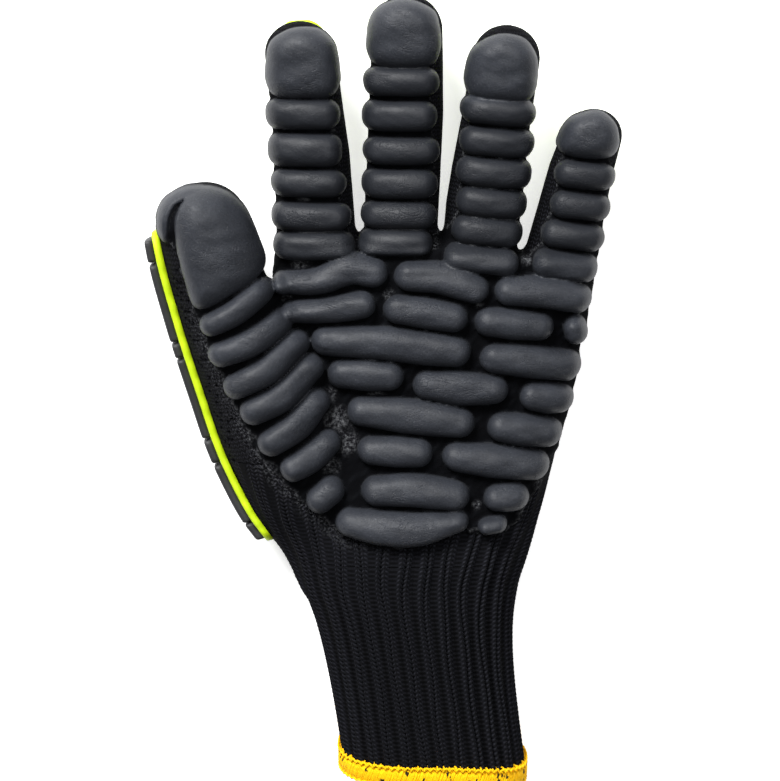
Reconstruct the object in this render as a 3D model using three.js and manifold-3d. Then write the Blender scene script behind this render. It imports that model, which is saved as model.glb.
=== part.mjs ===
// A left-hand anti-vibration work glove, lying palm up as it would on a bench.
// A black knitted liner is hollow from the cuff to the fingertips. Foam rubber is moulded over its
// palm side as a thin film with padded bars, and two-layer rubber guards sit on its back.
// Units are millimetres. +Z is the way the palm faces, +Y runs from the cuff to the fingertips and
// +X from the thumb to the little finger. The knitted back rests on the plane z = 0, and the
// origin is on that resting face, in the middle of the hand.
import * as THREE from "three";
import { mergeVertices } from "three/addons/utils/BufferGeometryUtils.js";
import Module from "manifold-3d";

// Walls and clearances
const KNIT = 1.8; // knitted wall
const FILM = 1.1; // rubber film between the padded bars, over the knit
const GAP = 0.3; // clearance between neighbouring solids

// Padded bars and pads of the coating, above the knit
const BAR_HEIGHT = 5.6;
const BAR_WIDTH = 10.3;
const PAD_HEIGHT = 6;

// Guards on the back: a bright base and dark raised blocks
const GUARD_BASE = 2;
const GUARD_BLOCK = 2.3;
const GUARD_SEAT = 0.45; // between the knit and the base
const FINGER_GUARD_WIDTH = 16; // on the index finger, and less on a narrower one
const THUMB_GUARD_WIDTH = 21;

// Fingers: width of the knitted tube at its root, and length from the root to the knitted tip
const INDEX_WIDTH = 23.5;
const MIDDLE_WIDTH = 23.5;
const RING_WIDTH = 23;
const LITTLE_WIDTH = 19.5;
const THUMB_WIDTH = 33;
const INDEX_LENGTH = 70.5;
const MIDDLE_LENGTH = 77.5;
const RING_LENGTH = 71;
const LITTLE_LENGTH = 50;
const THUMB_LENGTH = 135; // along its curved middle line, from the wrist
const INDEX_OVERHANG = 0.4; // how far the index finger stands out past the palm
const INDEX_WEB = 4.4; // space between the roots of neighbouring fingers
const MIDDLE_WEB = 2.8;
const RING_WEB = 6.2;
const TIP_LIFT = 5; // how far relaxed fingertips rise off the bench

// Hand and cuff
const PALM_LENGTH = 105; // from the wrist line to the root of the middle finger
const PALM_DEPTH = 30; // knit only, back to palm
const CUFF_LENGTH = 62; // from the wrist line to the hem
const CUFF_WIDTH = 61;
const CUFF_DEPTH = 38;
const CUFF_LEAN = 8.5; // degrees that the cuff leans towards the little finger's side
const CUFF_SLANT = 5; // how much longer the cuff is on its palm side
const HEM_LENGTH = 6;
const HEM_THICKNESS = 2.8;

// Facets
const FINGER_SIDES = 10;
const BODY_SIDES = 18;
const BAR_SIDES = 5;
const TIP_STATIONS = [33, 63]; // degrees up a rounded tip

const DEGREE = Math.PI / 180;
const HAND_WIDTH =
  INDEX_WIDTH + MIDDLE_WIDTH + RING_WIDTH + LITTLE_WIDTH + INDEX_WEB + MIDDLE_WEB + RING_WEB - INDEX_OVERHANG;
const ORIGIN = { across: 0.338, along: 0.543 }; // shares of the hand's width and the palm's length
const HAND_LEFT = -ORIGIN.across * HAND_WIDTH;
const WRIST_Y = -ORIGIN.along * PALM_LENGTH;
const GUARD_STACK = GUARD_SEAT + GUARD_BASE + GAP + GUARD_BLOCK;
const HEM_Y = WRIST_Y - CUFF_LENGTH;

const acrossHand = (share) => HAND_LEFT + share * HAND_WIDTH;
const alongPalm = (share) => WRIST_Y + share * PALM_LENGTH;

// Sections of the hand. along and left to right are shares of the palm's length and the hand's
// width, depth is a share of the palm's depth.
const HAND_SECTIONS = [
  { along: 0.0, left: 0.045, right: 0.787, depth: 1.22 },
  { along: 0.18, left: 0.045, right: 0.84, depth: 1.1 },
  { along: 0.36, left: 0.035, right: 0.888, depth: 1.0 },
  { along: 0.54, left: 0.0, right: 0.936, depth: 0.96 },
  { along: 0.72, left: -0.03, right: 0.958, depth: 0.97 },
  { along: 0.88, left: -0.012, right: 0.972, depth: 0.93 },
  { along: 0.96, left: 0.012, right: 0.965, depth: 0.74 },
  { along: 1.0, left: 0.03, right: 0.955, depth: 0.42 },
];

// Sections of the cuff. down is a share of its length from the wrist line, width and depth are
// shares of its own width and depth.
const CUFF_SECTIONS = [
  { down: 1.16, width: 1.0, depth: 1.03 },
  { down: 1.0, width: 0.99, depth: 1.02 },
  { down: 0.62, width: 1.0, depth: 0.99 },
  { down: 0.34, width: 1.06, depth: 0.98 },
  { down: 0.13, width: 1.18, depth: 0.97 },
];
const CUFF_PLACE = { across: 0.398 }; // across the hand at the wrist line

// Fingers. root is where each starts along the palm, lean is degrees from +Y towards +X, roll is
// how far its pads turn towards +X. The bars run from first to last, as shares of the length
// from the tip, and pad is the share of the length that the fingertip pad covers. The guard ends
// guardRise degrees up the rounded tip, and its middle is guardAngle degrees round from the palm
// side towards +X.
const FINGERS = [
  { name: "index", width: INDEX_WIDTH, length: INDEX_LENGTH, gapBefore: -INDEX_OVERHANG, root: 0.988,
    lean: -3, roll: -11, bars: 5, first: 0.42, last: 1.02, pad: 0.345, guardRise: 48, guardAngle: 194 },
  { name: "middle", width: MIDDLE_WIDTH, length: MIDDLE_LENGTH, gapBefore: INDEX_WEB, root: 1.0,
    lean: 1.4, roll: -8, bars: 6, first: 0.355, last: 1.01, pad: 0.295, guardRise: 38, guardAngle: 180 },
  { name: "ring", width: RING_WIDTH, length: RING_LENGTH, gapBefore: MIDDLE_WEB, root: 0.975,
    lean: 6.4, roll: 4, bars: 6, first: 0.39, last: 1.045, pad: 0.335, guardRise: 22, guardAngle: 176 },
  { name: "little", width: LITTLE_WIDTH, length: LITTLE_LENGTH, gapBefore: RING_WEB, root: 0.925,
    lean: 11.2, roll: 8, bars: 4, first: 0.437, last: 1.015, pad: 0.335, guardRise: 22, guardAngle: 171 },
];
const TIP_TAPER = 0.89; // width at the tip, as a share of the width at the root
const FINGER_DEPTH = 0.87; // depth of a finger, as a share of its width
const ROOT_DEPTH = 0.35; // how far a finger's tube reaches into the hand, as a share of its length
const BAR_WRAP = 58; // degrees that a finger bar wraps to either side
const FILM_WRAP = 68;

// The thumb's middle line from the wrist: x, y and z are shares of its length from its start,
// width and depth are shares of its greatest width.
const THUMB_LINE = [
  { x: 0.0, y: 0.0, z: 0.0, width: 0.5, depth: 0.56 },
  { x: -0.046, y: 0.15, z: 0.0, width: 0.93, depth: 0.88 },
  { x: -0.121, y: 0.32, z: 0.008, width: 1.0, depth: 0.95 },
  { x: -0.172, y: 0.475, z: 0.023, width: 1.0, depth: 0.93 },
  { x: -0.23, y: 0.646, z: 0.045, width: 0.95, depth: 0.85 },
  { x: -0.274, y: 0.795, z: 0.064, width: 0.88, depth: 0.78 },
  { x: -0.296, y: 0.945, z: 0.072, width: 0.85, depth: 0.72 },
];
const THUMB_START = { across: 0.142, along: -0.04, height: 0.57 }; // height is a share of the palm's depth
const THUMB_ROLL = 26;
const THUMB_PAD = 0.275; // share of its length that the pad covers
const THUMB_CUT = 0.7; // where the thumb's own tube starts
// Bars that cross the thumb itself: at is the share of its length from the tip, skew is how far
// one end runs ahead of the other, as a share of the thumb's width.
const THUMB_BARS = [
  { at: 0.315, from: -52, to: 56, skew: 0.2, width: 0.95 },
  { at: 0.4, from: -56, to: 50, skew: 0.12, width: 0.98 },
];

// Bars on the palm and the ball of the thumb. from and to are the ends, each as shares across the
// hand and along the palm. bow lifts the middle towards the fingers and sway bends it into an S, both as
// shares of the palm's length. width is a share of the bar width.
const PALM_BARS = [
  { from: [0.003, 0.87], to: [0.345, 0.907], bow: 0.011, sway: -0.014, width: 1.06 },
  { from: [0.367, 0.891], to: [0.658, 0.845], bow: 0.016, sway: 0, width: 1 },
  { from: [0.68, 0.857], to: [0.984, 0.817], bow: 0.003, sway: 0, width: 1 },
  { from: [0.009, 0.792], to: [0.31, 0.807], bow: -0.006, sway: 0, width: 0.96 },
  { from: [0.332, 0.806], to: [0.592, 0.767], bow: 0.003, sway: 0, width: 1 },
  { from: [0.614, 0.764], to: [0.865, 0.733], bow: 0.002, sway: 0, width: 1 },
  { from: [0.9, 0.73], to: [0.978, 0.718], bow: 0, sway: 0, width: 0.9 },
  { from: [0.103, 0.689], to: [0.605, 0.658], bow: 0.014, sway: 0, width: 1 },
  { from: [0.63, 0.652], to: [0.961, 0.612], bow: 0, sway: 0, width: 1.03 },
  { from: [0.15, 0.596], to: [0.395, 0.578], bow: 0.005, sway: 0, width: 0.98 },
  { from: [0.414, 0.571], to: [0.727, 0.543], bow: 0, sway: 0, width: 1.08 },
  { from: [0.755, 0.534], to: [0.937, 0.5], bow: 0, sway: 0, width: 1 },
  { from: [0.213, 0.481], to: [0.618, 0.435], bow: 0.006, sway: 0, width: 1 },
  { from: [0.655, 0.435], to: [0.903, 0.391], bow: 0, sway: 0, width: 1 },
  { from: [0.245, 0.351], to: [0.483, 0.345], bow: 0, sway: 0, width: 0.96 },
  { from: [0.511, 0.339], to: [0.859, 0.286], bow: 0.006, sway: 0, width: 1.03 },
  { from: [0.26, 0.227], to: [0.602, 0.208], bow: 0.014, sway: 0, width: 0.96 },
  { from: [0.646, 0.205], to: [0.79, 0.208], bow: 0, sway: 0, width: 0.93 },
  { from: [0.179, 0.134], to: [0.602, 0.127], bow: -0.017, sway: 0, width: 1.06 },
  { from: [0.627, 0.118], to: [0.721, 0.137], bow: 0, sway: 0, width: 0.6 },
  { from: [-0.157, 0.55], to: [0.078, 0.714], bow: -0.025, sway: 0, width: 0.86 },
  { from: [-0.107, 0.469], to: [0.132, 0.64], bow: -0.03, sway: 0, width: 0.9 },
  { from: [-0.066, 0.36], to: [0.163, 0.509], bow: -0.025, sway: 0, width: 0.92 },
  { from: [0.003, 0.267], to: [0.201, 0.376], bow: -0.01, sway: 0, width: 0.95 },
  { from: [0.082, 0.18], to: [0.204, 0.248], bow: 0, sway: 0, width: 0.93 },
];

// Edge of the rubber film on the hand, seen from the palm side: shares across and along.
const FILM_OUTLINE = [
  [-0.36, 0.95], [-0.25, 0.78], [-0.17, 0.55], [-0.1, 0.41], [-0.03, 0.29], [0.06, 0.19], [0.16, 0.11],
  [0.3, 0.065], [0.44, 0.07], [0.66, 0.1], [0.78, 0.17], [0.86, 0.27], [1.2, 0.3], [1.2, 1.03], [-0.1, 1.03],
];
const FILM_EDGE_HEIGHT = 0.5; // the film stops here on the sides of the hand, a share of its depth

// Blocks of the thumb's guard from the tip down: share of the guard's length that each takes
const THUMB_BLOCKS = [0.065, 0.24, 0.052, 0.275, 0.075, 0.21, 0.083];
const THUMB_GUARD = { from: 0.1, to: 0.9, middle: -137 }; // shares of the length, and degrees round from the pads
const FINGER_BLOCKS = [0.36, 0.36, 0.28];
const FINGER_GUARD_START = 0.16; // past the finger's root, a share of its length
const BLOCK_SPACE = 0.8; // notch between two blocks
const BLOCK_INSET = 1.6; // the blocks' distance from the base's edge
const FINGER_BARE_END = 7; // the base alone bends up the fingertip, past its last block

const wasm = await Module();
wasm.setup();

// Interpolates a column of a table smoothly at x, where the table's key column rises.
function column(rows, key, name, x) {
  const last = rows.length - 1;
  let i = 0;
  while (i < last - 1 && x > rows[i + 1][key]) i++;
  const at = (k) => rows[Math.min(Math.max(k, 0), last)];
  const span = at(i + 1)[key] - at(i)[key];
  const t = THREE.MathUtils.clamp((x - at(i)[key]) / span, 0, 1);
  const slope = (k) => {
    const width = at(k + 1)[key] - at(k - 1)[key];
    return width ? ((at(k + 1)[name] - at(k - 1)[name]) / width) * span : 0;
  };
  const [a, b] = [at(i)[name], at(i + 1)[name]];
  return (
    a * (2 * t ** 3 - 3 * t ** 2 + 1) +
    slope(i) * (t ** 3 - 2 * t ** 2 + t) +
    b * (-2 * t ** 3 + 3 * t ** 2) +
    slope(i + 1) * (t ** 3 - t ** 2)
  );
}

// A closed solid through rings of points, with a point of its own closing each end.
function loft(rings, startPole, endPole) {
  const sides = rings[0].length;
  const points = [...rings.flat(), startPole, endPole];
  const [first, last] = [points.length - 2, points.length - 1];
  const faces = [];
  for (let k = 0; k < rings.length - 1; k++) {
    for (let j = 0; j < sides; j++) {
      const [a, b] = [k * sides + j, k * sides + ((j + 1) % sides)];
      faces.push(a, b, b + sides, a, b + sides, a + sides);
    }
  }
  const top = (rings.length - 1) * sides;
  for (let j = 0; j < sides; j++) {
    const next = (j + 1) % sides;
    faces.push(first, next, j, last, top + j, top + next);
  }
  return solidFrom(points, faces);
}

// A closed solid between two equal grids of points, an outer and an inner one.
function slab(outer, inner) {
  const [rows, columns] = [outer.length, outer[0].length];
  const points = [...outer.flat(), ...inner.flat()];
  const below = rows * columns;
  const faces = [];
  const quad = (a, b, c, d) => faces.push(a, b, c, a, c, d);
  const at = (i, j) => i * columns + j;
  for (let i = 0; i < rows - 1; i++) {
    for (let j = 0; j < columns - 1; j++) {
      quad(at(i, j), at(i, j + 1), at(i + 1, j + 1), at(i + 1, j));
      quad(below + at(i, j), below + at(i + 1, j), below + at(i + 1, j + 1), below + at(i, j + 1));
    }
  }
  const rim = [];
  for (let j = 0; j < columns - 1; j++) rim.push(at(0, j));
  for (let i = 0; i < rows - 1; i++) rim.push(at(i, columns - 1));
  for (let j = columns - 1; j > 0; j--) rim.push(at(rows - 1, j));
  for (let i = rows - 1; i > 0; i--) rim.push(at(i, 0));
  rim.forEach((a, k) => {
    const b = rim[(k + 1) % rim.length];
    quad(b, a, below + a, below + b);
  });
  return solidFrom(points, faces);
}

function solidFrom(points, faces) {
  const make = (triVerts) =>
    new wasm.Manifold(
      new wasm.Mesh({
        numProp: 3,
        vertProperties: new Float32Array(points.flatMap((p) => [p.x, p.y, p.z])),
        triVerts: new Uint32Array(triVerts),
      }),
    );
  const made = make(faces);
  if (made.volume() > 0) return made;
  return make(faces.map((_, i) => faces[i - (i % 3) + [0, 2, 1][i % 3]]));
}

function solidOf(geometry) {
  const bare = new THREE.BufferGeometry();
  bare.setAttribute("position", geometry.getAttribute("position"));
  bare.setIndex(geometry.getIndex());
  const merged = mergeVertices(bare, 1e-3);
  return new wasm.Manifold(
    new wasm.Mesh({
      numProp: 3,
      vertProperties: merged.attributes.position.array,
      triVerts: new Uint32Array(merged.index.array),
    }),
  );
}

const union = (solids) => wasm.Manifold.union(solids);
const largest = (solid) => solid.decompose().sort((a, b) => b.volume() - a.volume())[0];

// Everything on the far side of a plane through point, along direction.
function beyond(point, direction) {
  const size = 4 * (PALM_LENGTH + CUFF_LENGTH);
  const box = new THREE.BoxGeometry(size, size, size);
  box.translate(0, 0, size / 2);
  const turn = new THREE.Quaternion().setFromUnitVectors(new THREE.Vector3(0, 0, 1), direction);
  box.applyQuaternion(turn);
  box.translate(point.x, point.y, point.z);
  return solidOf(box);
}

// A point on a section. The angle runs from the palm side towards +X, and grow moves the point out.
function sectionPoint(section, angle, grow) {
  const bend = (v) => Math.sign(v) * Math.abs(v) ** (2 / section.power);
  const sideways = (section.halfWidth + grow) * section.shrink * bend(Math.sin(angle));
  const upwards = (section.halfDepth + grow) * section.shrink * bend(Math.cos(angle));
  const point = section.centre
    .clone()
    .addScaledVector(section.side, sideways)
    .addScaledVector(section.up, upwards);
  point.z = Math.max(point.z, -grow); // the knit lies flat where it rests
  return point;
}

// The frame of a section that a line passes through along ahead, rolled towards +X.
function frameAlong(ahead, roll) {
  const side = new THREE.Vector3().crossVectors(ahead, new THREE.Vector3(0, 0, 1)).normalize();
  side.applyAxisAngle(ahead, roll * DEGREE);
  return { ahead, side, up: new THREE.Vector3().crossVectors(side, ahead) };
}

// The hand and the cuff are one tube along Y.
const CUFF_AXIS_X = acrossHand(CUFF_PLACE.across);
const BODY_ROWS = [
  ...CUFF_SECTIONS.map(({ down, width, depth }) => {
    const middle = CUFF_AXIS_X + Math.tan(CUFF_LEAN * DEGREE) * down * CUFF_LENGTH;
    const half = (width * CUFF_WIDTH) / 2;
    return { y: WRIST_Y - down * CUFF_LENGTH, left: middle - half, right: middle + half, depth: depth * CUFF_DEPTH };
  }),
  ...HAND_SECTIONS.map(({ along, left, right, depth }) => ({
    y: alongPalm(along), left: acrossHand(left), right: acrossHand(right), depth: depth * PALM_DEPTH,
  })),
];
const FLATTENING = 1.5; // how much deeper the tube would be if it didn't lie flat
const BODY_POWER = 2.5;

function bodySection(y) {
  const [left, right, depth] = ["left", "right", "depth"].map((name) => column(BODY_ROWS, "y", name, y));
  const full = depth + FLATTENING;
  const closed = BODY_ROWS[BODY_ROWS.length - 1].depth / 2;
  const lift = Math.max(0, (y - alongPalm(0.9)) / (PALM_LENGTH * 0.1)) * closed; // the web between the fingers is half way up
  return {
    centre: new THREE.Vector3((left + right) / 2, y, full / 2 - FLATTENING + lift),
    side: new THREE.Vector3(1, 0, 0), up: new THREE.Vector3(0, 0, 1),
    halfWidth: (right - left) / 2, halfDepth: full / 2, power: BODY_POWER, shrink: 1,
  };
}

function bodySolid(grow) {
  const rows = BODY_ROWS.map(({ y }) => y);
  if (grow < 0) rows[0] -= KNIT * 3; // the hollow runs out of the cuff
  rows[rows.length - 1] += grow;
  const rings = rows.map((y) => {
    const section = bodySection(y);
    section.centre.y = y;
    return Array.from({ length: BODY_SIDES }, (_, j) => sectionPoint(section, (j / BODY_SIDES) * 2 * Math.PI, grow));
  });
  const pole = (y) => bodySection(y).centre.setY(y);
  return loft(rings, pole(rows[0]), pole(rows[rows.length - 1]));
}

// A finger or thumb: a tube round a line, closed by a round tip. Past round, its section is
// found by the angle up the round tip, so that growing it moves the surface out evenly.
function limb({ line, length, root, halfWidth, halfDepth, tipRadius, roll, stations }) {
  const round = length - tipRadius;
  const section = (along, grow = 0) => {
    const rise = Math.min(Math.max((along - round) / tipRadius, 0), Math.PI / 2);
    const s = Math.min(along, round) + (rise > 0 ? (tipRadius + grow) * Math.sin(rise) : 0);
    const point = line(s);
    const ahead = line(s + 0.5).sub(line(s - 0.5)).normalize();
    return {
      centre: point, ...frameAlong(ahead, roll), halfWidth: halfWidth(Math.min(s, round)),
      halfDepth: halfDepth(Math.min(s, round)), power: 2.2, shrink: Math.cos(rise),
    };
  };
  const end = round + (tipRadius * Math.PI) / 2;
  const places = Array.from({ length: stations }, (_, k) => root + ((round - root) * k) / (stations - 1));
  for (const rise of TIP_STATIONS) places.push(round + tipRadius * rise * DEGREE);
  const point = (along, angle, grow = 0) => sectionPoint(section(along, grow), angle, grow);
  const solid = (grow) => {
    const rings = [root - grow, ...places.slice(1)].map((along) =>
      Array.from({ length: FINGER_SIDES }, (_, j) => point(along, (j / FINGER_SIDES) * 2 * Math.PI, grow)),
    );
    return loft(rings, section(root - grow).centre, section(end, grow).centre);
  };
  return { length, end, round, tipRadius, places, section, point, solid, halfWidth };
}

let nextLeft = HAND_LEFT;
const fingers = FINGERS.map((finger) => {
  const { width, length, lean, roll } = finger;
  const middle = nextLeft + finger.gapBefore + width / 2;
  nextLeft = middle + width / 2;
  const base = new THREE.Vector3(middle, alongPalm(finger.root), GUARD_STACK + (width * FINGER_DEPTH) / 2);
  const line = (s) =>
    new THREE.Vector3(
      base.x + s * Math.sin(lean * DEGREE),
      base.y + s * Math.cos(lean * DEGREE),
      base.z + TIP_LIFT * (Math.max(s, 0) / length) ** 2,
    );
  const halfWidth = (s) => (width / 2) * THREE.MathUtils.lerp(1, TIP_TAPER, Math.max(s, 0) / length);
  return {
    ...finger,
    limb: limb({
      line, length, root: -ROOT_DEPTH * length, halfWidth, halfDepth: (s) => halfWidth(s) * FINGER_DEPTH,
      tipRadius: width * 0.46, roll, stations: 4,
    }),
  };
});

const thumbStart = new THREE.Vector3(
  acrossHand(THUMB_START.across), alongPalm(THUMB_START.along), THUMB_START.height * PALM_DEPTH,
);
const thumbCurve = new THREE.CatmullRomCurve3(
  THUMB_LINE.map(({ x, y, z }) => new THREE.Vector3(x, y, z).multiplyScalar(THUMB_LENGTH).add(thumbStart)),
);
const thumbRows = THUMB_LINE.map((row, k) => ({ ...row, share: k / (THUMB_LINE.length - 1) }));
const thumbSize = (name) => (s) =>
  (column(thumbRows, "share", name, THREE.MathUtils.clamp(s / THUMB_LENGTH, 0, 1)) * THUMB_WIDTH) / 2;
const thumb = limb({
  line: (s) => {
    const t = THREE.MathUtils.clamp(s / THUMB_LENGTH, 0, 1);
    return thumbCurve.getPointAt(t).addScaledVector(thumbCurve.getTangentAt(t), s - t * THUMB_LENGTH);
  },
  length: THUMB_LENGTH, root: 0, halfWidth: thumbSize("width"), halfDepth: thumbSize("depth"),
  tipRadius: THUMB_WIDTH * 0.38, roll: THUMB_ROLL, stations: 7,
});

// The whole glove as one solid, its surface moved out by grow.
const grown = new Map();
function glove(grow) {
  if (!grown.has(grow)) {
    grown.set(grow, union([bodySolid(grow), thumb.solid(grow), ...fingers.map((f) => f.limb.solid(grow))]));
  }
  return grown.get(grow);
}
const hollow = glove(-KNIT);
const clearOfKnit = glove(GAP);

// The knitted tubes, each a shell round the one hollow
const FINGER_CUT = 0.06; // where a finger's own tube starts, as a share of its length
const tubes = [
  ...fingers.map(({ name, limb: tube }) => ({ name, tube, cut: FINGER_CUT * tube.length })),
  { name: "thumb", tube: thumb, cut: THUMB_CUT * thumb.length },
];
const past = (tube, along) => beyond(tube.section(along).centre, tube.section(along).ahead);
const knitTubes = tubes.map(({ name, tube, cut }) => [
  `knit_${name}`,
  tube.solid(0).subtract(hollow).intersect(past(tube, cut)),
]);
const tubeSpaces = tubes.map(({ tube, cut }) => tube.solid(GAP).intersect(past(tube, cut - GAP)));
const upHand = new THREE.Vector3(0, 1, 0);
const cuffEnd = new THREE.Vector3(0, CUFF_DEPTH, CUFF_SLANT).normalize();
const knitBody = glove(0).subtract(hollow).subtract(union(tubeSpaces));
const aboveWrist = beyond(new THREE.Vector3(0, WRIST_Y + GAP / 2, 0), upHand);
const belowWrist = beyond(new THREE.Vector3(0, WRIST_Y - GAP / 2, 0), upHand.clone().negate());
const knitHand = knitBody.intersect(aboveWrist);
const knitCuff = knitBody
  .intersect(belowWrist)
  .intersect(beyond(new THREE.Vector3(0, HEM_Y + GAP / 2, 0), cuffEnd));

// The hem is a rounded band that carries on from the slanted end of the cuff.
function hemSolid() {
  const middle = (HEM_THICKNESS - KNIT) / 2 - KNIT / 2;
  const profile = [[0, -0.4], [0, 0.4], [0.3, 0.5], [0.85, 0.5], [1, 0], [0.85, -0.5], [0.3, -0.5]];
  const points = [];
  const faces = [];
  for (let j = 0; j < BODY_SIDES; j++) {
    for (const [down, out] of profile) {
      const section = bodySection(HEM_Y - GAP / 2 - down * HEM_LENGTH);
      const point = sectionPoint(section, (j / BODY_SIDES) * 2 * Math.PI, middle + KNIT / 2 + out * HEM_THICKNESS);
      point.z = Math.max(point.z, (0.5 - out) * HEM_THICKNESS);
      point.y -= (CUFF_SLANT * point.z) / CUFF_DEPTH;
      points.push(point);
    }
  }
  const count = profile.length;
  for (let j = 0; j < BODY_SIDES; j++) {
    for (let k = 0; k < count; k++) {
      const [a, b] = [j * count + k, j * count + ((k + 1) % count)];
      const turn = ((j + 1) % BODY_SIDES) * count - j * count;
      faces.push(a, b, b + turn, a, b + turn, a + turn);
    }
  }
  return solidFrom(points, faces);
}

// A padded bar along a path of { point, out, ahead }: round over the top, sunk into the knit below.
const LONG_BAR = 16; // a longer bar bends with the surface below it
const SHORT_BAR_RINGS = [{ t: 0.05, size: 0.65 }, { t: 0.3, size: 1 }, { t: 0.7, size: 1 }, { t: 0.95, size: 0.65 }];
const BAR_RINGS = [
  { t: 0.035, size: 0.6 }, { t: 0.17, size: 0.97 }, { t: 0.5, size: 1 }, { t: 0.83, size: 0.97 }, { t: 0.965, size: 0.6 },
];
const BAR_ROOT = 1.2; // how far a bar's underside lies in the knit, before it is cut to it

function barSolid(pathAt, width, grow) {
  const half = width / 2 + grow;
  const [middle, height] = [(BAR_HEIGHT - BAR_ROOT) / 2, (BAR_HEIGHT + BAR_ROOT) / 2 + grow];
  const length = pathAt(1).point.distanceTo(pathAt(0).point);
  const grownAt = (t) => pathAt(THREE.MathUtils.lerp(-grow / length, 1 + grow / length, t));
  const rings = (length > LONG_BAR ? BAR_RINGS : SHORT_BAR_RINGS).map(({ t, size }) => {
    const { point, out, ahead } = grownAt(t);
    return Array.from({ length: BAR_SIDES }, (_, j) => {
      const angle = ((j + 0.5) / BAR_SIDES) * 2 * Math.PI;
      return point
        .clone()
        .addScaledVector(out, middle * size + height * size * Math.cos(angle) * 1.05)
        .addScaledVector(ahead, half * size * Math.sin(angle) * 1.05);
    });
  });
  const pole = (t) => {
    const { point, out } = grownAt(t);
    return point.clone().addScaledVector(out, middle * 0.4);
  };
  return loft(rings, pole(0), pole(1));
}

// The path of a bar round a limb.
function barRound(tube, along, from, to, skew) {
  return (t) => {
    const angle = THREE.MathUtils.lerp(from, to, t) * DEGREE;
    const s = along + skew * (t - 0.5);
    const point = tube.point(s, angle);
    const out = point.clone().sub(tube.section(s).centre).normalize();
    return { point, out, ahead: tube.section(s).ahead };
  };
}

// Height of the knit's palm side above a point in plan, taking the higher of the hand and the thumb.
function palmPoint(x, y) {
  const section = bodySection(y);
  const reach = section.halfWidth + BAR_HEIGHT * 0.4;
  const t = THREE.MathUtils.clamp((x - section.centre.x) / reach, -0.985, 0.985);
  const angle = Math.sign(t) * Math.asin(Math.abs(t) ** (section.power / 2));
  const onHand = sectionPoint(section, angle, 0);
  const samples = 24;
  let best = onHand;
  for (let k = 0; k <= samples; k++) {
    const near = thumb.section(THREE.MathUtils.lerp(0, thumb.round, k / samples));
    const offset = new THREE.Vector3(x, y, 0).sub(near.centre).setZ(0);
    const flatAhead = near.ahead.clone().setZ(0).normalize();
    if (Math.abs(offset.dot(flatAhead)) > (thumb.round / samples) * 0.6) continue;
    const across = offset.dot(new THREE.Vector3(flatAhead.y, -flatAhead.x, 0)) / near.halfWidth;
    if (Math.abs(across) > 0.93) continue;
    const z = near.centre.z + near.halfDepth * Math.sqrt(1 - across ** 2);
    if (z > best.z) best = new THREE.Vector3(x, y, z);
  }
  return best;
}

function barOnPalm({ from, to, bow, sway }) {
  const start = new THREE.Vector2(acrossHand(from[0]), alongPalm(from[1]));
  const end = new THREE.Vector2(acrossHand(to[0]), alongPalm(to[1]));
  const chord = end.clone().sub(start);
  const left = new THREE.Vector2(-chord.y, chord.x).normalize();
  const planAt = (t) =>
    start
      .clone()
      .addScaledVector(chord, t)
      .addScaledVector(left, PALM_LENGTH * (bow * Math.sin(Math.PI * t) + sway * Math.sin(2 * Math.PI * t)));
  return (t) => {
    const place = (u) => {
      const plan = planAt(u);
      return palmPoint(plan.x, plan.y);
    };
    const step = 0.04;
    const along = place(Math.min(t + step, 1)).sub(place(Math.max(t - step, 0))).normalize();
    const ahead = new THREE.Vector3(-along.y, along.x, 0).normalize();
    return { point: place(t), out: new THREE.Vector3().crossVectors(along, ahead), ahead };
  };
}

// The thick pad that covers the palm side of a tip, down to the first bar.
function padSolid(tube, length, grow) {
  const middle = tube.length - length / 2 + GAP;
  const section = tube.section(Math.min(middle, tube.round));
  const across = tube.halfWidth(middle) + FILM * 1.6 + grow;
  const over = section.halfDepth + PAD_HEIGHT + grow;
  const geometry = new THREE.SphereGeometry(1, 10, 7);
  const positions = geometry.getAttribute("position");
  const square = (v) => Math.sign(v) * Math.abs(v) ** 0.82; // fuller than a ball
  for (let i = 0; i < positions.count; i++) {
    const p = new THREE.Vector3().fromBufferAttribute(positions, i);
    const placed = section.centre
      .clone()
      .addScaledVector(section.side, square(p.x) * across)
      .addScaledVector(section.ahead, square(p.y) * (length / 2 + grow) + (middle - Math.min(middle, tube.round)))
      .addScaledVector(section.up, square(p.z) * over);
    positions.setXYZ(i, placed.x, placed.y, placed.z);
  }
  const low = section.centre.clone().addScaledVector(section.up, -grow);
  return solidOf(geometry).intersect(beyond(low, section.up));
}

// A piece of a limb's surface round a middle angle. Each row has its place along the limb and its
// half angle, and columns are shares of that half angle.
function patch(tube, rows, middle, inner, outer, columns) {
  const grid = (grow) =>
    rows.map(({ along, half }) => columns.map((share) => tube.point(along, (middle + half * share) * DEGREE, grow)));
  return slab(grid(outer), grid(inner));
}

function filmOn(tube, from, to, grow) {
  const half = FILM_WRAP + grow / tube.halfWidth(to) / DEGREE;
  const rows = [from - grow, (from + to) / 2, to + grow].map((along) => ({ along, half }));
  return patch(tube, rows, 0, -KNIT / 2, FILM + grow, [-1, -0.6, -0.2, 0.2, 0.6, 1]);
}

function fingerCoating(finger, grow) {
  const tube = finger.limb;
  const pitch = ((finger.last - finger.first) * finger.length) / (finger.bars - 1);
  const bars = Array.from({ length: finger.bars }, (_, k) => {
    const along = finger.length * (1 - finger.first) - k * pitch;
    return barSolid(barRound(tube, along, -BAR_WRAP, BAR_WRAP, 0), pitch * 0.93, grow);
  });
  return union([
    filmOn(tube, filmStart(finger), tube.round, grow),
    padSolid(tube, finger.length * finger.pad, grow),
    ...bars,
  ]);
}

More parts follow.
